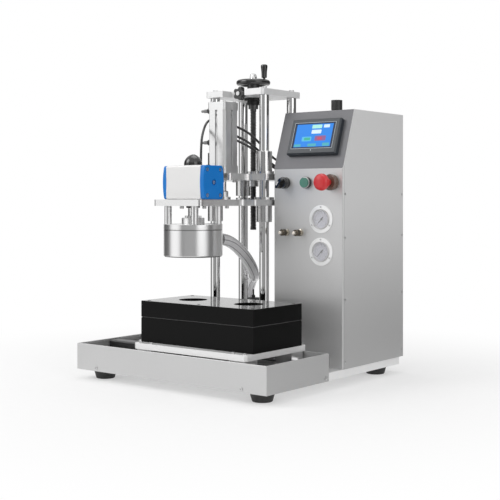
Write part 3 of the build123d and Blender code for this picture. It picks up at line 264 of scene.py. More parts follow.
def centreline(route):
    """Points in metres along the smooth line that a route in millimetres controls."""
    data = bpy.data.curves.new("route", "CURVE")
    data.dimensions = "3D"
    spline = data.splines.new("NURBS")
    spline.points.add(len(route) - 1)
    for point, (x, y, z) in zip(spline.points, route):
        point.co = (x * mm, y * mm, z * mm, 1.0)
    spline.order_u = 3
    spline.use_endpoint_u = True
    spline.resolution_u = 10
    holder = bpy.data.objects.new("route", data)
    line = bpy.data.meshes.new_from_object(holder)
    points = [v.co.copy() for v in line.vertices]
    bpy.data.objects.remove(holder)
    bpy.data.meshes.remove(line)
    return points


def tube_mesh(name, points, radii, sides=24):
    """A tube with one wall for each radius, closed by rings at both ends when it has two."""
    verts, faces, runs = [], [], []
    heading = (points[1] - points[0]).normalized()
    side = heading.orthogonal().normalized()
    travelled = 0.0
    for i, point in enumerate(points):
        before, after = points[max(i - 1, 0)], points[min(i + 1, len(points) - 1)]
        new_heading = (after - before).normalized()
        side = (side - new_heading * side.dot(new_heading)).normalized()
        other = new_heading.cross(side)
        travelled += (point - before).length
        for radius in radii:
            for k in range(sides):
                angle = 2 * math.pi * k / sides
                verts.append(point + (side * math.cos(angle) + other * math.sin(angle)) * radius)
                runs.append((travelled, angle))
    ring = sides * len(radii)
    for i in range(len(points) - 1):
        for wall in range(len(radii)):
            for k in range(sides):
                a = i * ring + wall * sides + k
                b = i * ring + wall * sides + (k + 1) % sides
                face = (a, b, b + ring, a + ring)
                faces.append(face if wall == 0 else face[::-1])
    for start, flip in ((0, True), ((len(points) - 1) * ring, False)):
        if len(radii) == 2:
            for k in range(sides):
                a, b = start + k, start + (k + 1) % sides
                face = (a, b, b + sides, a + sides)
                faces.append(face if not flip else face[::-1])
        else:
            cap = [start + k for k in range(sides)]
            faces.append(cap[::-1] if flip else cap)
    mesh = bpy.data.meshes.new(name)
    mesh.from_pydata(verts, [], faces)
    for label, place in (("run", 0), ("turn", 1)):
        values = mesh.attributes.new(label, "FLOAT", "POINT")
        values.data.foreach_set("value", [r[place] for r in runs])
    return mesh


hose_diameter = 30 * mm
hose_bore = 21 * mm
air_diameter = 6 * mm

clear_hose = Finish("clear hose", "clear_hose")
run = clear_hose.node("Attribute", {"attribute_name": "run"}, output=2)
turn = clear_hose.node("Attribute", {"attribute_name": "turn"}, output=2)
marking_lines = 7.0
barb_end = -0.064
around = turn * marking_lines
marks = around.maths("COSINE", around) > 0.9
waves = run * 900.0
dashes = waves.maths("SINE", waves) > -0.4
legend = turn.maths("COSINE", turn + 0.5) > 0.988
hose_tint = clear_hose.mix(clear_hose.noise(60.0), (0.78, 0.775, 0.79, 1), (0.90, 0.895, 0.91, 1))
on_barb = (clear_hose.along(clear_hose.place, (0, 1, 0)) < barb_end) * 0.75
striped = clear_hose.mix(marks * 0.8, hose_tint, (0.14, 0.13, 0.15, 1))
marked = clear_hose.mix(on_barb, striped, grey(0.05))
clear_hose.cover(
    clear_hose.mix(legend * dashes * 0.7, marked, grey(0.12)), clear_hose.noise(90.0) * 0.1 + 0.14,
    height=marks, depth=0.0001, Transmission_Weight=0.05, IOR=1.42, Coat_Weight=0.5,
    Coat_Roughness=0.1,
)

black_tube = Finish("black polyurethane tube", "tube_black")
black_tube.cover(
    black_tube.mix(black_tube.noise(300.0), grey(0.012), grey(0.028)),
    black_tube.noise(120.0) * 0.15 + 0.22, Coat_Weight=0.3,
)

hose_routes = {
    "vacuum_hose_front": (
        [(-22, -76, 350), (-22, -38, 350), (-22, 22, 316), (-27, 70, 275), (-52, 115, 241), (-95, 170, 241)],
        0.2986, ("head", "carriage"),
    ),
    "vacuum_hose_rear": (
        [(-95.2, 170.3, 241), (-129.6, 214.3, 241), (-166, 240, 212), (-190, 252, 164), (-197, 254, 119),
         (-197, 254, 84)],
        0.2415, ("carriage", "frame"),
    ),
}
tube_routes = {
    "actuator_air_tube": (
        [(-34, -125, 535.5), (-34, -125, 586), (-50, -100, 618), (-68, -64, 648), (-73, -36, 656),
         (-64, -18, 651), (-51, -18, 641), (-34.3, -18, 640)],
        0.2224, ("head", "carriage"),
    ),
    "air_tube_upper": (
        [(-10, -18, 636), (12, 1, 625), (38, 27, 590), (52, 50, 560), (66, 70, 545),
         (80, 80, 541), (93.7, 80, 541)],
        0.1808, ("carriage", "frame"),
    ),
    "air_tube_middle": (
        [(-10, -18, 612), (12, 1, 600), (38, 29, 568), (52, 53, 540), (66, 73, 527),
         (80, 83, 523), (93.7, 83, 523)],
        0.1785, ("carriage", "frame"),
    ),
    "air_tube_lower": (
        [(-10, -18, 601), (12, 9, 588), (36, 39, 554), (50, 63, 531), (64, 84, 522),
         (78, 94, 520), (93.7, 94, 520)],
        0.1830, ("carriage", "frame"),
    ),
}
for routes, finish, diameter, radii in (
    (hose_routes, clear_hose, hose_diameter, (hose_diameter / 2, hose_bore / 2)),
    (tube_routes, black_tube, air_diameter, (air_diameter / 2,)),
):
    for node_name, (route, length, (start_body, end_body)) in routes.items():
        line = centreline(route)
        cord = piece(node_name + "_laid", tube_mesh(node_name, line, radii), finish, None, sharp=60)
        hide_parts(node_name)
        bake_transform(cord)


# Base plate, top plate, slide plate and the two lift plates: aluminium plate milled all over, all
# but the base anodised. The cutter leaves fine lines along each plate, and the edges are broken.
def plate_finish(name, slot, tone, rough, metallic):
    finish = Finish(name, slot)
    lines = finish.noise(40.0, (0.3, 16.0, 16.0), 3.0)
    cloud = finish.noise(6.0)
    finish.cover(
        finish.mix(lines * 0.5 + cloud * 0.4, grey(tone - 0.03), grey(tone + 0.03)),
        cloud * 0.06 + lines * 0.05 + (rough - 0.05), metallic, height=lines, depth=0.000004,
    )
    return finish


def dress(finish, *names):
    """Puts the finish on solids of the model whose shape is already right."""
    for name in names:
        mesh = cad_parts[name].data
        mesh.materials.clear()
        mesh.materials.append(finish.material)


milled = plate_finish("milled aluminium", "milled_aluminium", 0.92, 0.36, 0.5)
bright_plate = plate_finish("bright anodised plate", "plate_aluminium", 0.88, 0.36, 0.3)
anodised = plate_finish("anodised plate", "plate_aluminium", 0.82, 0.28, 1.0)
dress(milled, "base_plate")
dress(bright_plate, "top_plate", "slide_plate")
dress(anodised, "head_plate", "carriage_plate")


# Socket screws: zinc plated steel, turned with a rounded head and a socket, and tightened into
# tapped holes all over the plates.
def add_turned(build, outline, at, axis=(0, 0, 1), sides=24):
    """Spins an outline of (radius, height) about an axis through a point, all in millimetres."""
    tilt = Vector(axis).to_track_quat("Z", "Y").to_matrix().to_4x4()
    turn_to = Matrix.Translation(Vector(at) * mm) @ tilt
    angles = [2 * math.pi * k / sides for k in range(sides)]
    rings = []
    for radius, height in outline:
        reach = radius * mm
        rings.append([
            build.verts.new(turn_to @ Vector((reach * math.cos(a), reach * math.sin(a), height * mm)))
            for a in (angles if radius > 0 else angles[:1])
        ])
    for low, high in zip(rings, rings[1:]):
        for k in range(sides):
            after = k + 1
            corners = [low[k % len(low)], low[after % len(low)]]
            corners += [high[after % len(high)], high[k % len(high)]]
            corners = list(dict.fromkeys(corners))
            if len(corners) > 2:
                build.faces.new(corners)


def built(name, build):
    """The finished mesh of a bmesh, its faces turned outwards."""
    bmesh.ops.recalc_face_normals(build, faces=build.faces)
    mesh = bpy.data.meshes.new(name)
    build.to_mesh(mesh)
    build.free()
    return mesh


def screw_heads(name, spots, radius, finish, body, axis=(0, 0, 1), height=None):
    """A group of socket heads that sit on a face."""
    tall = height or radius
    outline = [
        (0, tall * 0.35), (radius * 0.5, tall * 0.35), (radius * 0.55, tall), (radius * 0.88, tall),
        (radius, tall * 0.86), (radius, -0.2), (0, -0.2),
    ]
    build = bmesh.new()
    for spot in spots:
        add_turned(build, outline, spot, axis)
    return piece(name, built(name, build), finish, body)


zinc = Finish("zinc plated steel", "bush_steel")
zinc.cover(zinc.mix(zinc.noise(400.0), grey(0.55), grey(0.75)), zinc.noise(200.0) * 0.2 + 0.2, 1.0)
black_screw = Finish("black oxide steel", "black_steel")
black_screw.cover(
    black_screw.mix(black_screw.noise(250.0), grey(0.02), grey(0.05)),
    black_screw.noise(120.0) * 0.2 + 0.3, 0.6,
)

head_x, head_y, screw_y = -22.0, -168.0, 70.5
column_reach = 81.0
column_rows = (12.0, 129.0)
top_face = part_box("top_plate")[1].z / mm
column_tops = [(head_x + side * column_reach, y, top_face) for y in column_rows for side in (-1, 1)]
screw_heads("top_plate_screws", column_tops, 6.5, zinc, "frame", height=5)

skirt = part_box("tray_skirt")
skirt_front, skirt_right = skirt[0].y / mm, skirt[1].x / mm
skirt_screw_x, skirt_screw_y = 230, -66
skirt_screw_z = skirt[0].z / mm + 8
for name, spots, way in (
    ("front", [(x, skirt_front, skirt_screw_z) for x in (-skirt_screw_x, skirt_screw_x)], (0, -1, 0)),
    ("right", [(skirt_right, skirt_screw_y, skirt_screw_z)], (1, 0, 0)),
    ("left", [(-skirt_right, skirt_screw_y, skirt_screw_z)], (-1, 0, 0)),
):
    screw_heads("skirt_screws_" + name, spots, 4.0, zinc, "frame", way, 2.2)


# Tray skirt and cabinet shell: brushed stainless sheet, bent, welded and ground at the seams. The
# cabinet's sloped panel is a darker powder coated sheet, and its right side is a screwed panel
# with painted shade, darker towards the bottom.
brushed = Finish("brushed stainless sheet", "brushed_sheet")
grain = brushed.noise(90.0, (14.0, 14.0, 0.35), 4.0)
wide = brushed.noise(5.0, (1.0, 1.0, 0.6))
facing = brushed.node("NewGeometry", output=1)
axes = ((1, 0, 0), (0, 1, 0), (0, 0, 1))
across, deep, tall = [brushed.along(brushed.place, axis) for axis in axes]
slope_normal = (0.0, -0.947, 0.322)
on_slope = (brushed.along(facing, slope_normal) > 0.985) * (tall > 0.4)
seam = (across > 0.2995) * (deep > 0.0125) * (deep < 0.0133) * (tall < 0.53)
to_side = brushed.along(facing, (1.0, 0.0, 0.0)) > 0.9
steel = brushed.mix(grain * 0.4 + wide * 0.4, grey(0.60), grey(0.71))
# Painted shade: faces turned to the right are darker towards the bottom and lighter towards the top.
right_side_painted_shade = brushed.mix(tall.ramp(0.05, 0.5) * 0.9 + grain * 0.1, grey(0.44), grey(0.80))
faces_steel = brushed.mix(to_side, steel, right_side_painted_shade)
sheet = brushed.mix(on_slope, faces_steel, (0.17, 0.17, 0.18, 1))
brushed.cover(
    brushed.mix(seam, sheet, grey(0.3)),
    (grain * 0.08 + wide * 0.06 + 0.36) * (1 - on_slope) + on_slope * 0.5,
    0.6 - (on_slope + to_side) * 0.4, height=grain, depth=0.00001,
)
dress(brushed, "tray_skirt", "cabinet_shell")

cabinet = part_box("cabinet_shell")
cabinet_left, cabinet_front = cabinet[0].x / mm, cabinet[0].y / mm
cabinet_right, cabinet_rear = cabinet[1].x / mm, cabinet[1].y / mm
screw_inset = 9
screw_rows = (60, 210, 358, 463)
front_row, rear_row = cabinet_front + screw_inset, cabinet_rear - screw_inset
for name, side_x, columns, way in (
    ("right", cabinet_right, (front_row, rear_row), 1), ("left", cabinet_left, (rear_row,), -1),
):
    spots = [(side_x, y, z) for y in columns for z in screw_rows]
    screw_heads("side_panel_screws_" + name, spots, 2.6, zinc, "frame", (way, 0, 0), 1.2)


# Feet and chamber seal: moulded black rubber. Each foot is a cone round a steel washer, held by one
# screw from below, and the seal is a ring pressed into the chamber's rim.
rubber = Finish("moulded rubber", "rubber")
bloom = rubber.noise(30.0)
rubber.cover(
    rubber.mix(bloom, grey(0.018), grey(0.04)), bloom * 0.2 + 0.5,
    height=rubber.noise(600.0), depth=0.00003,
)
dress(rubber, "rubber_feet", "chamber_seal")


# Columns, rails and rods: ground bars with hard chrome. Bushes, lift nut, pinion shaft and rack
# pistons are ground steel. Grinding leaves faint rings, and oil dulls them here and there.
def bar_finish(name, slot, tone, rough):
    finish = Finish(name, slot)
    rings = finish.noise(50.0, (0.3, 0.3, 12.0), 3.0)
    finish.cover(
        finish.mix(rings, grey(tone - 0.02), grey(tone + 0.02)),
        rings * 0.03 + finish.noise(12.0) * 0.03 + rough, 1.0, height=rings, depth=0.0000005,
    )
    return finish


chrome = bar_finish("ground chrome", "chromed_bar", 0.80, 0.03)
ground_steel = bar_finish("ground steel", "bush_steel", 0.66, 0.14)
dress(chrome, "guide_columns", "piston_rod", "shuttle_rod", "linear_rails")
dress(ground_steel, "head_bushes", "carriage_bushes", "lift_nut")
dress(ground_steel, "pinion_shaft", "rack_piston_left", "rack_piston_right")


# Chamber, its posts and chuck, and the bearing blocks: aluminium turned or milled to a satin, the
# lid seated on the wall with a dark joint. The slide cylinder is a dark hard anodised tube.
turned_metal = Finish("satin turned aluminium", "turned_aluminium")
cloudy = turned_metal.noise(12.0)
above_seam = turned_metal.along(turned_metal.place, (0, 0, 1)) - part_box("chamber_lid")[0].z
lid_seam = (above_seam > -0.0012) * (above_seam < 0.0004)
satin = turned_metal.mix(cloudy, grey(0.88), grey(0.94))
turned_metal.cover(turned_metal.mix(lid_seam, satin, grey(0.3)), cloudy * 0.04 + 0.27, 1.0)
hard_anodised = bar_finish("dark hard anodised tube", "turned_aluminium", 0.10, 0.35)
dress(hard_anodised, "shuttle_cylinder")
dress(turned_metal, "chamber_posts", "chamber_lid", "chamber_wall", "spindle_seal", "chuck", "bearing_blocks")


# Lift screw: black oxide steel with a trapezoid thread cut for 310 mm and a bearing collar turned
# with it. A chromed dome nut holds the handwheel on its upper journal.
thread_pitch = 4.0
thread_depth = 1.6
thread_radius = 8.0
top_of_plate, screw_foot = 715.0, 370.0
collar_under = 18.05
collar_height, collar_radius = 10, 13
journal_radius = 6
sides = 24
rows_per_turn = 6
profile = (0.0, 0.0, 0.45, 1.0, 1.0, 0.45)
thread_start, thread_margin = screw_foot + 2, 4
slight_shrink = 0.998
thread_length = top_of_plate - collar_under - collar_height - screw_foot - thread_margin
thread_rows = int(thread_length / thread_pitch) * rows_per_turn
verts, faces = [], []
for row in range(thread_rows + 1):
    fade = min(1.0, row / rows_per_turn, (thread_rows - row) / rows_per_turn)
    for k in range(sides):
        angle = 2 * math.pi * k / sides
        height = thread_start + (row / rows_per_turn + k / sides) * thread_pitch * slight_shrink
        radius = thread_radius - thread_depth * profile[row % rows_per_turn] * fade
        verts.append((
            (head_x + radius * math.cos(angle)) * mm, (screw_y + radius * math.sin(angle)) * mm, height * mm,
        ))
for row in range(thread_rows):
    for k in range(sides - 1):
        a = row * sides + k
        faces.append((a, a + 1, a + 1 + sides, a + sides))
    last = row * sides + sides - 1
    if row + 1 + rows_per_turn <= thread_rows:
        wrap = (row + rows_per_turn) * sides
        faces.append((last, wrap, wrap + sides, last + sides))
thread_build = bmesh.new()
thread_mesh = bpy.data.meshes.new("thread")
thread_mesh.from_pydata(verts, [], faces)
thread_build.from_mesh(thread_mesh)
bpy.data.meshes.remove(thread_mesh)
core = thread_radius - thread_depth - 0.1
plate_level = top_of_plate - screw_foot
collar_top = plate_level - collar_under
collar_foot = collar_top - collar_height
shoulder, screw_end = plate_level + 20, plate_level + 51
add_turned(thread_build, [
    (0, 0), (thread_radius - 1, 0), (thread_radius, 1), (thread_radius, 4), (core, 4.5), (core, 310),
    (thread_radius, 311), (thread_radius, collar_foot), (collar_radius, collar_foot),
    (collar_radius, collar_top), (thread_radius, collar_top), (thread_radius, shoulder),
    (journal_radius, shoulder), (journal_radius, screw_end), (0, screw_end),
], (head_x, screw_y, screw_foot))
screw_steel = Finish("black oxide screw", "black_steel")
oil = screw_steel.noise(40.0)
screw_steel.cover(screw_steel.mix(oil, grey(0.09), grey(0.17)), oil * 0.2 + 0.26, 0.7)
thread_piece = piece("lift_screw_thread", built("lift_screw_thread", thread_build), screw_steel, "screw")

nut_seat = 763
dome_build = bmesh.new()
add_turned(dome_build, [
    (0, -1), (9.4, -1), (9.4, 8.5), (8.8, 9.4), (8.2, 12.8), (6.8, 15.6), (4, 17.1), (0, 17.5),
], (head_x, screw_y, nut_seat), sides=32)
piece("dome_nut", built("dome_nut", dome_build), chrome, "screw")
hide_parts("lead_screw")
dress(black_screw, "screw_bearing")


# Handwheel, its handle, the clamp knob, the indicator and the selector: black phenolic, moulded and
# polished. The clamp knob's stud is a plated insert that shows at its middle.
phenolic = Finish("polished phenolic", "black_moulding")
swirl = phenolic.noise(25.0)
phenolic.cover(
    phenolic.mix(swirl, grey(0.008), grey(0.02)), swirl * 0.12 + 0.14, Coat_Weight=0.7, Coat_Roughness=0.06,
)
dress(phenolic, "handwheel", "handle_grip", "clamp_knob", "indicator_dome", "selector_knob")

insert_build = bmesh.new()
knob_front, knob_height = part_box("clamp_knob")[0].y / mm, 723
add_turned(
    insert_build, [(0, 1.2), (2.2, 1.2), (2.6, 0.9), (5.2, 0.9), (5.6, 0.2), (5.6, -1), (0, -1)],
    (head_x, knob_front, knob_height), (0, -1, 0),
)
piece("clamp_knob_insert", built("clamp_knob_insert", insert_build), zinc, "clamp")


# Air cylinder: satin extruded tube between cast end caps, held on the carriage by four tie rods. Its
# fittings, the filter and the regulator knob are black mouldings.
dress(anodised, "air_cylinder")
cylinder_y = -53.0
tie_reach = 20
cylinder_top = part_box("air_cylinder")[1].z / mm
tie_spots = [
    (head_x + a * tie_reach, cylinder_y + b * tie_reach, cylinder_top) for a in (-1, 1) for b in (-1, 1)
]
screw_heads("tie_rod_screws", tie_spots, 4.0, zinc, "carriage", height=3)
under_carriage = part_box("carriage_plate")[0].z / mm
screw_heads(
    "cylinder_bolts", [(x, y, under_carriage) for x, y, z in tie_spots], 5.0, zinc, "carriage", (0, 0, -1), 5
)

fitting = Finish("moulded fitting", "fitting_plastic")
leftmost = fitting.along(fitting.place, (1, 0, 0)) < -0.0565
bare_tip = leftmost * (fitting.along(fitting.place, (0, 0, 1)) > 0.5)
fitting_tone = fitting.mix(fitting.noise(200.0), grey(0.02), grey(0.04))
fitting.cover(fitting.mix(bare_tip, fitting_tone, grey(0.22)), fitting.noise(100.0) * 0.1 + 0.35)
dress(fitting, "cylinder_fittings", "vacuum_filter", "regulator_knob")


# Actuator: clear anodised extrusion with black elbows at its rear and the rack pistons inside, and
# blue enamelled end caps, each held by four corner screws round a stop screw.
actuator_white = Finish("clear anodised extrusion", "actuator_white")
haze = actuator_white.noise(14.0)
elbows = actuator_white.along(actuator_white.place, (0, 1, 0)) > -0.1305
extrusion = actuator_white.mix(haze, (0.80, 0.80, 0.80, 1), (0.87, 0.86, 0.85, 1))
actuator_white.cover(
    actuator_white.mix(elbows, extrusion, grey(0.02)), haze * 0.15 + 0.38, 0.2,
    height=actuator_white.noise(900.0), depth=0.000005,
)
blue_enamel = Finish("blue enamel", "actuator_blue")
orange_peel = blue_enamel.noise(260.0)
blue_enamel.cover(
    blue_enamel.mix(blue_enamel.noise(18.0), (0.0, 0.17, 0.56, 1), (0.0, 0.21, 0.66, 1)),
    orange_peel * 0.1 + 0.3, height=orange_peel, depth=0.00001,
    Specular_IOR_Level=0.3, Coat_Weight=0.15, Coat_Roughness=0.15,
)
dress(actuator_white, "actuator_body")
dress(blue_enamel, "actuator_caps")

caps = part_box("actuator_caps")
actuator_middle = (caps[0].z + caps[1].z) / 2 / mm
corner_y, corner_z = 24, 31
for name, cap_face, way in (("right", caps[1].x / mm, 1), ("left", caps[0].x / mm, -1)):
    seat_x, outwards = cap_face - way, (way, 0, 0)
    corner_spots = [
        (seat_x, head_y + a * corner_y, actuator_middle + b * corner_z) for a in (-1, 1) for b in (-1, 1)
    ]
    screw_heads("cap_screws_" + name, corner_spots, 4.0, zinc, "head", outwards, 1.2)
    stop_spot = (seat_x, head_y, actuator_middle)
    screw_heads("stop_screw_" + name, [stop_spot], 4.2, zinc, "head", outwards, 1.4)


# Head plate screws: plated socket screws from below, the actuator's four on a 55 mm circle and two
# for the rod's flange, and a turned black spigot ring pressed in round the shaft.
head_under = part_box("head_plate")[0].z / mm
bolt_reach, flange_reach = 19.5, 12
actuator_bolts = [
    (head_x + a * bolt_reach, head_y + b * bolt_reach, head_under) for a in (-1, 1) for b in (-1, 1)
]
rod_bolts = [(head_x + a * flange_reach, cylinder_y, head_under) for a in (-1, 1)]
screw_heads("actuator_bolts", actuator_bolts + rod_bolts, 5.0, zinc, "head", (0, 0, -1), 7)
ring_build = bmesh.new()
add_turned(
    ring_build, [(12.4, 0.2), (17, 0.2), (17, -4), (16, -5), (12.4, -5), (12.4, 0.2)],
    (head_x, head_y, head_under), sides=40,
)
piece("spigot_ring", built("spigot_ring", ring_build), black_screw, "head")


# Fixture: two blocks of black acetal on a milled slide plate, screwed together from above. The
# upper block is polished, and a light band painted along the joint stands for the highlight on its edge.
acetal = Finish("machined acetal", "black_acetal")
tool = acetal.noise(80.0, (0.5, 18.0, 18.0), 3.0)
polished = acetal.along(acetal.node("NewGeometry", output=1), (0, 0, 1)) > 0.9
joint_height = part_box("fixture_top")[0].z
above_joint = acetal.along(acetal.place, (0, 0, 1)) - joint_height
# Painted highlight: a light grey band along the joint where the two blocks meet.
joint_painted_highlight = (above_joint > -0.0002) * (above_joint < 0.0014)
machined = acetal.mix(tool, grey(0.003), grey(0.006))
acetal.cover(
    acetal.mix(joint_painted_highlight, machined, grey(0.11)), tool * 0.1 + 0.34,
    Specular_IOR_Level=0.1, Coat_Weight=polished, Coat_Roughness=0.04,
)
dress(acetal, "fixture_base", "fixture_top")
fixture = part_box("fixture_top")
fixture_left, fixture_right = fixture[0].x / mm, fixture[1].x / mm
fixture_front, fixture_rear = fixture[0].y / mm, fixture[1].y / mm
fixture_z = fixture[1].z / mm
edge_inset = 14
fixture_spots = [
    (x, y, fixture_z)
    for x in (fixture_left + edge_inset, (fixture_left + fixture_right) / 2, fixture_right - edge_inset)
    for y in (fixture_front + edge_inset, fixture_rear - edge_inset)
]
screw_heads("fixture_screws", fixture_spots, 4.0, black_screw, "shuttle", height=0.4)
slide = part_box("slide_plate")
slide_top, slide_front = slide[1].z / mm, slide[0].y / mm
block_inset, bolt_half_pitch, bolt_from_front = 30, 17, 12
slide_bolts = [
    (x, slide_front + bolt_from_front, slide_top)
    for middle in (slide[0].x / mm + block_inset, slide[1].x / mm - block_inset)
    for x in (middle - bolt_half_pitch, middle + bolt_half_pitch)
]
screw_heads("slide_plate_bolts", slide_bolts, 4.2, zinc, "shuttle", height=3)


# Touch panel: slate moulding clamped in the sloped sheet, with a lit glass, a thin printed frame and
# a small lamp below it. Blank fields stand for the writing of its page.
slate = Finish("slate moulding", "slate_plastic")
slate.cover(
    slate.mix(slate.noise(20.0), (0.022, 0.028, 0.035, 1), (0.032, 0.040, 0.048, 1)),
    slate.noise(300.0) * 0.1 + 0.36, height=slate.noise(700.0), depth=0.00003,
)
dress(slate, "hmi_housing")


def lit(name, colour, strength=1.0):
    """A lit field of the page, behind glossy glass."""
    finish = Finish(name, "screen_glass")
    shade = finish.noise(60.0) * 0.06 + 0.97
    tint = finish.node("VectorMath", {"operation": "SCALE"}, {0: colour, 3: shade})
    finish.cover(
        grey(0.01), finish.noise(40.0) * 0.05 + 0.12, Emission_Color=tint, Emission_Strength=strength,
        Specular_IOR_Level=0.12,
    )
    return finish


page_blue = lit("blue page", (0.0, 0.23, 0.82))
dress(page_blue, "hmi_screen")
panel_face = 7.0
slope_run, slope_rise = 49.0, 144.0
slope_length = math.hypot(slope_run, slope_rise)
panel_up = Vector((0, slope_run, slope_rise)) / slope_length
panel_out = Vector((0, -slope_rise, slope_run)) / slope_length
slope_foot = Vector((205.5, panel_face, 525))
housing_foot, housing_half, glass_out = 33, 46.75, 15
panel_middle = slope_foot + panel_up * (housing_foot + housing_half) + panel_out * glass_out
tile_depth = 0.3


def panel_tile(build, across, up, width, height, lift, corner):
    """A rounded tile on the touch panel, placed from the panel's middle in millimetres."""
    outline = []
    for corner_x, corner_y, start in ((1, 1, 0), (-1, 1, 90), (-1, -1, 180), (1, -1, 270)):
        for step in range(5):
            angle = math.radians(start + step * 22.5)
            outline.append((
                across + corner_x * (width / 2 - corner) + corner * math.cos(angle),
                up + corner_y * (height / 2 - corner) + corner * math.sin(angle),
            ))
    low, high = [
        [
            build.verts.new((panel_middle + Vector((x, 0, 0)) + panel_up * y + panel_out * level) * mm)
            for x, y in outline
        ]
        for level in (lift - tile_depth, lift)
    ]
    build.faces.new(high)
    for k in range(len(low)):
        build.faces.new((low[k], low[k - 1], high[k - 1], high[k]))


glass_up = 2.0
fields = {
    "page_field_green": ((0.42, 0.86, 0.76), [(6.5, 23, 29, 9.5)]),
    "page_field_white": ((0.70, 0.88, 1.0), [(35, 23.5, 17, 8), (7, 9.5, 28.5, 10)]),
    "page_button_rim": ((0.08, 0.50, 0.80), [(-19, -9, 28, 12)]),
    "page_button_green": ((0.03, 0.45, 0.30), [(-17, -9, 18, 7)]),
    "page_button_red": ((0.26, 0.10, 0.28), [(21.5, -8, 32, 13)]),
    "page_lamp_red": ((0.55, 0.05, 0.12), [(20, -8.5, 14, 7)]),
    "page_labels": ((0.06, 0.42, 0.50), [(-43, -25.5, 20, 6.5), (0, -25, 25, 7), (41, -24.5, 20, 8)]),
}
raised = {"page_button_green": 0.1, "page_lamp_red": 0.1}
for name, (colour, tiles) in fields.items():
    build = bmesh.new()
    lift = raised.get(name, 0) - 0.5
    for across, up, width, height in tiles:
        panel_tile(build, across, up + glass_up, width, height, lift, min(width, height) / 6)
    piece(name, built(name, build), lit(name, colour), "frame")

mark = lit("light frame", (0.62, 0.68, 0.72), 0.8)
build = bmesh.new()
for across, up, width, height in (
    (0, glass_up + 34, 122, 0.9), (0, glass_up - 34, 122, 0.9),
    (-60.6, glass_up, 0.9, 68), (60.6, glass_up, 0.9, 68), (0, glass_up - 38.5, 3, 3),
):
    panel_tile(build, across, up, width, height, 0.15, min(width, height) / 2.1)
piece("panel_light_frame", built("panel_light_frame", build), mark, "frame")
build = bmesh.new()
for across, up, width, height in (
    (0, glass_up + 31.5, 119, 3), (0, glass_up - 31.5, 119, 3),
    (-56.8, glass_up, 5.4, 66), (56.8, glass_up, 5.4, 66),
):
    panel_tile(build, across, up, width, height, -0.35, 0.3)
surround = lit("screen surround", (0.0, 0.012, 0.045))
piece("screen_surround", built("screen_surround", build), surround, "frame")


# Push controls: black moulded collars, a green cap in a thin light ring, a red mushroom head on a
# brown collar, and a selector with a white line, each clamped in its hole from behind.
def moulded(name, slot, low, high, rough):
    finish = Finish(name, slot)
    finish.cover(
        finish.mix(finish.noise(30.0), low, high), finish.noise(150.0) * 0.1 + rough,
        Coat_Weight=0.3, Coat_Roughness=0.15,
    )
    return finish


green = moulded("green moulding", "button_green", (0.06, 0.20, 0.15, 1), (0.08, 0.25, 0.19, 1), 0.35)
red = moulded("red moulding", "stop_red", (0.58, 0.015, 0.02, 1), (0.68, 0.025, 0.03, 1), 0.32)
dress(green, "green_button")
dress(red, "estop_head")
collars = Finish("moulded collars", "black_moulding")
brown = collars.along(collars.place, (1, 0, 0)) > 0.24
collar_tone = collars.mix(brown, grey(0.022), (0.12, 0.07, 0.05, 1))
collars.cover(collar_tone, collars.noise(40.0) * 0.1 + 0.22, Coat_Weight=0.3, Coat_Roughness=0.2)
dress(collars, "control_bezels")
control_z, selector_x, button_x = 491.0, 130.0, 194.0
ring_build = bmesh.new()
add_turned(
    ring_build, [(12.5, 8.8), (12.6, 9.6), (13.5, 9.5), (13.9, 8.9), (12.5, 8.8)],
    (button_x, panel_face, control_z), (0, -1, 0), 40,
)
piece("button_ring", built("button_ring", ring_build), zinc, "frame")

wing = math.radians(235)
wing_front = 30.3
wing_x, wing_z = math.cos(wing), math.sin(wing)
# The white line is a pointer mark laid off-centre along the wing's upper edge, where it is also a painted
# highlight on that edge.
pointer_build = bmesh.new()
quad = [
    (selector_x + wing_x * reach - wing_z * side, control_z + wing_z * reach + wing_x * side)
    for reach, side in ((-2, -2.9), (9, -2.9), (9, -1.1), (-2, -1.1))
]
rings = [
    [pointer_build.verts.new((x * mm, (panel_face - level) * mm, z * mm)) for x, z in quad]
    for level in (wing_front - 0.3, wing_front + 0.15)
]
pointer_build.faces.new(rings[1])
pointer_build.faces.new(rings[0])
for k in range(4):
    pointer_build.faces.new((rings[0][k], rings[0][k - 1], rings[1][k - 1], rings[1][k]))
pointer_line_and_painted_highlight = moulded("white line", "black_moulding", grey(0.75), grey(0.85), 0.4)
piece("selector_line", built("selector_line", pointer_build), pointer_line_and_painted_highlight, "selector")


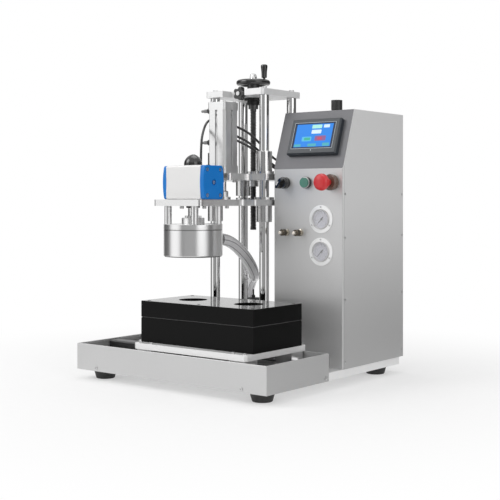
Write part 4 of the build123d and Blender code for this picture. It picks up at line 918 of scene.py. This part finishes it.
# Gauges: satin plated cups with a pale dial printed in fine marks under glass, and a black needle.
# Each is screwed to the panel through its flange.
dial = Finish("dial", "lens_glass")
dial_tone = dial.mix(dial.noise(80.0), (0.56, 0.56, 0.64, 1), (0.68, 0.68, 0.76, 1))
dial.cover(dial_tone, dial.noise(60.0) * 0.1 + 0.45)
ink = moulded("dial ink", "needle_black", grey(0.03), grey(0.06), 0.5)
gauge_x, dial_radius = 237.0, 21.8
dial_y, tick_y = panel_face + 1.9, (panel_face + 1.65) * mm
tick_steps, scale_start, scale_sweep, tick_end = 40, -45, 270, 19.4
dial_build, tick_build = bmesh.new(), bmesh.new()
for gauge_z in (323.0, 402.0):
    add_turned(
        dial_build, [(0, 0.2), (dial_radius, 0.2), (dial_radius, -0.5), (0, -0.5)],
        (gauge_x, dial_y, gauge_z), (0, -1, 0), 48,
    )
    for step in range(tick_steps + 1):
        angle = math.radians(scale_start + scale_sweep * step / tick_steps)
        inner = 15.6 if step % 5 == 0 else 17.8
        half = 0.45 if step % 5 == 0 else 0.22
        out_x, out_z = math.cos(angle), math.sin(angle)
        quad = [
            (gauge_x + out_x * reach - out_z * side, gauge_z + out_z * reach + out_x * side)
            for reach, side in ((inner, -half), (tick_end, -half), (tick_end, half), (inner, half))
        ]
        tick_build.faces.new([tick_build.verts.new((x * mm, tick_y, z * mm)) for x, z in quad])
piece("gauge_dials", built("gauge_dials", dial_build), dial, "frame")
piece("gauge_ticks", built("gauge_ticks", tick_build), ink, "frame")
dress(ink, "gauge_needle_lower", "gauge_needle_upper")
satin_plate = Finish("satin plated case", "chromed_bar")
# Painted shade: the back of each case, nearer the panel, is darker than its front rim.
case_painted_shade = satin_plate.along(satin_plate.place, (0, -1, 0)) > -0.0045
satin_plate.cover(
    satin_plate.mix(case_painted_shade, grey(0.90), grey(0.55)), satin_plate.noise(60.0) * 0.1 + 0.26, 0.7,
)
dress(satin_plate, "gauge_cases")
lens = Finish("gauge lens", "lens_glass")
lens.cover(
    lens.mix(lens.noise(20.0), grey(0.97), grey(1.0)), lens.noise(30.0) * 0.02 + 0.02,
    Alpha=0.18, Coat_Weight=1.0, Coat_Roughness=0.03,
)
dress(lens, "gauge_lenses")


# Valves and ports: nickel plated brass, turned, with knurled knobs that have bright ends. The hose
# port is plated dark and screws into the chamber's wall.
nickel = Finish("nickel plated brass", "nickel_brass")
tarnish = nickel.noise(60.0)
nickel.cover(nickel.mix(tarnish, (0.50, 0.45, 0.36, 1), (0.74, 0.70, 0.62, 1)), tarnish * 0.15 + 0.18, 1.0)
dress(nickel, "panel_valve_bodies")
knurled = Finish("knurled knob", "nickel_brass")
tip = knurled.along(knurled.place, (0, -1, 0)) > 0.0155
stain = knurled.noise(400.0)
dark_knurl = knurled.mix(stain, (0.035, 0.03, 0.025, 1), (0.22, 0.19, 0.15, 1))
knurled.cover(knurled.mix(tip, dark_knurl, (0.85, 0.80, 0.72, 1)), stain * 0.15 + 0.2, 0.9)
dress(knurled, "valve_knob_left", "valve_knob_right")
port_steel = Finish("dark plated port", "nickel_brass")
port_steel.cover(
    port_steel.mix(port_steel.noise(50.0), grey(0.10), grey(0.2)), port_steel.noise(90.0) * 0.1 + 0.3, 0.8,
)
dress(port_steel, "hose_port")
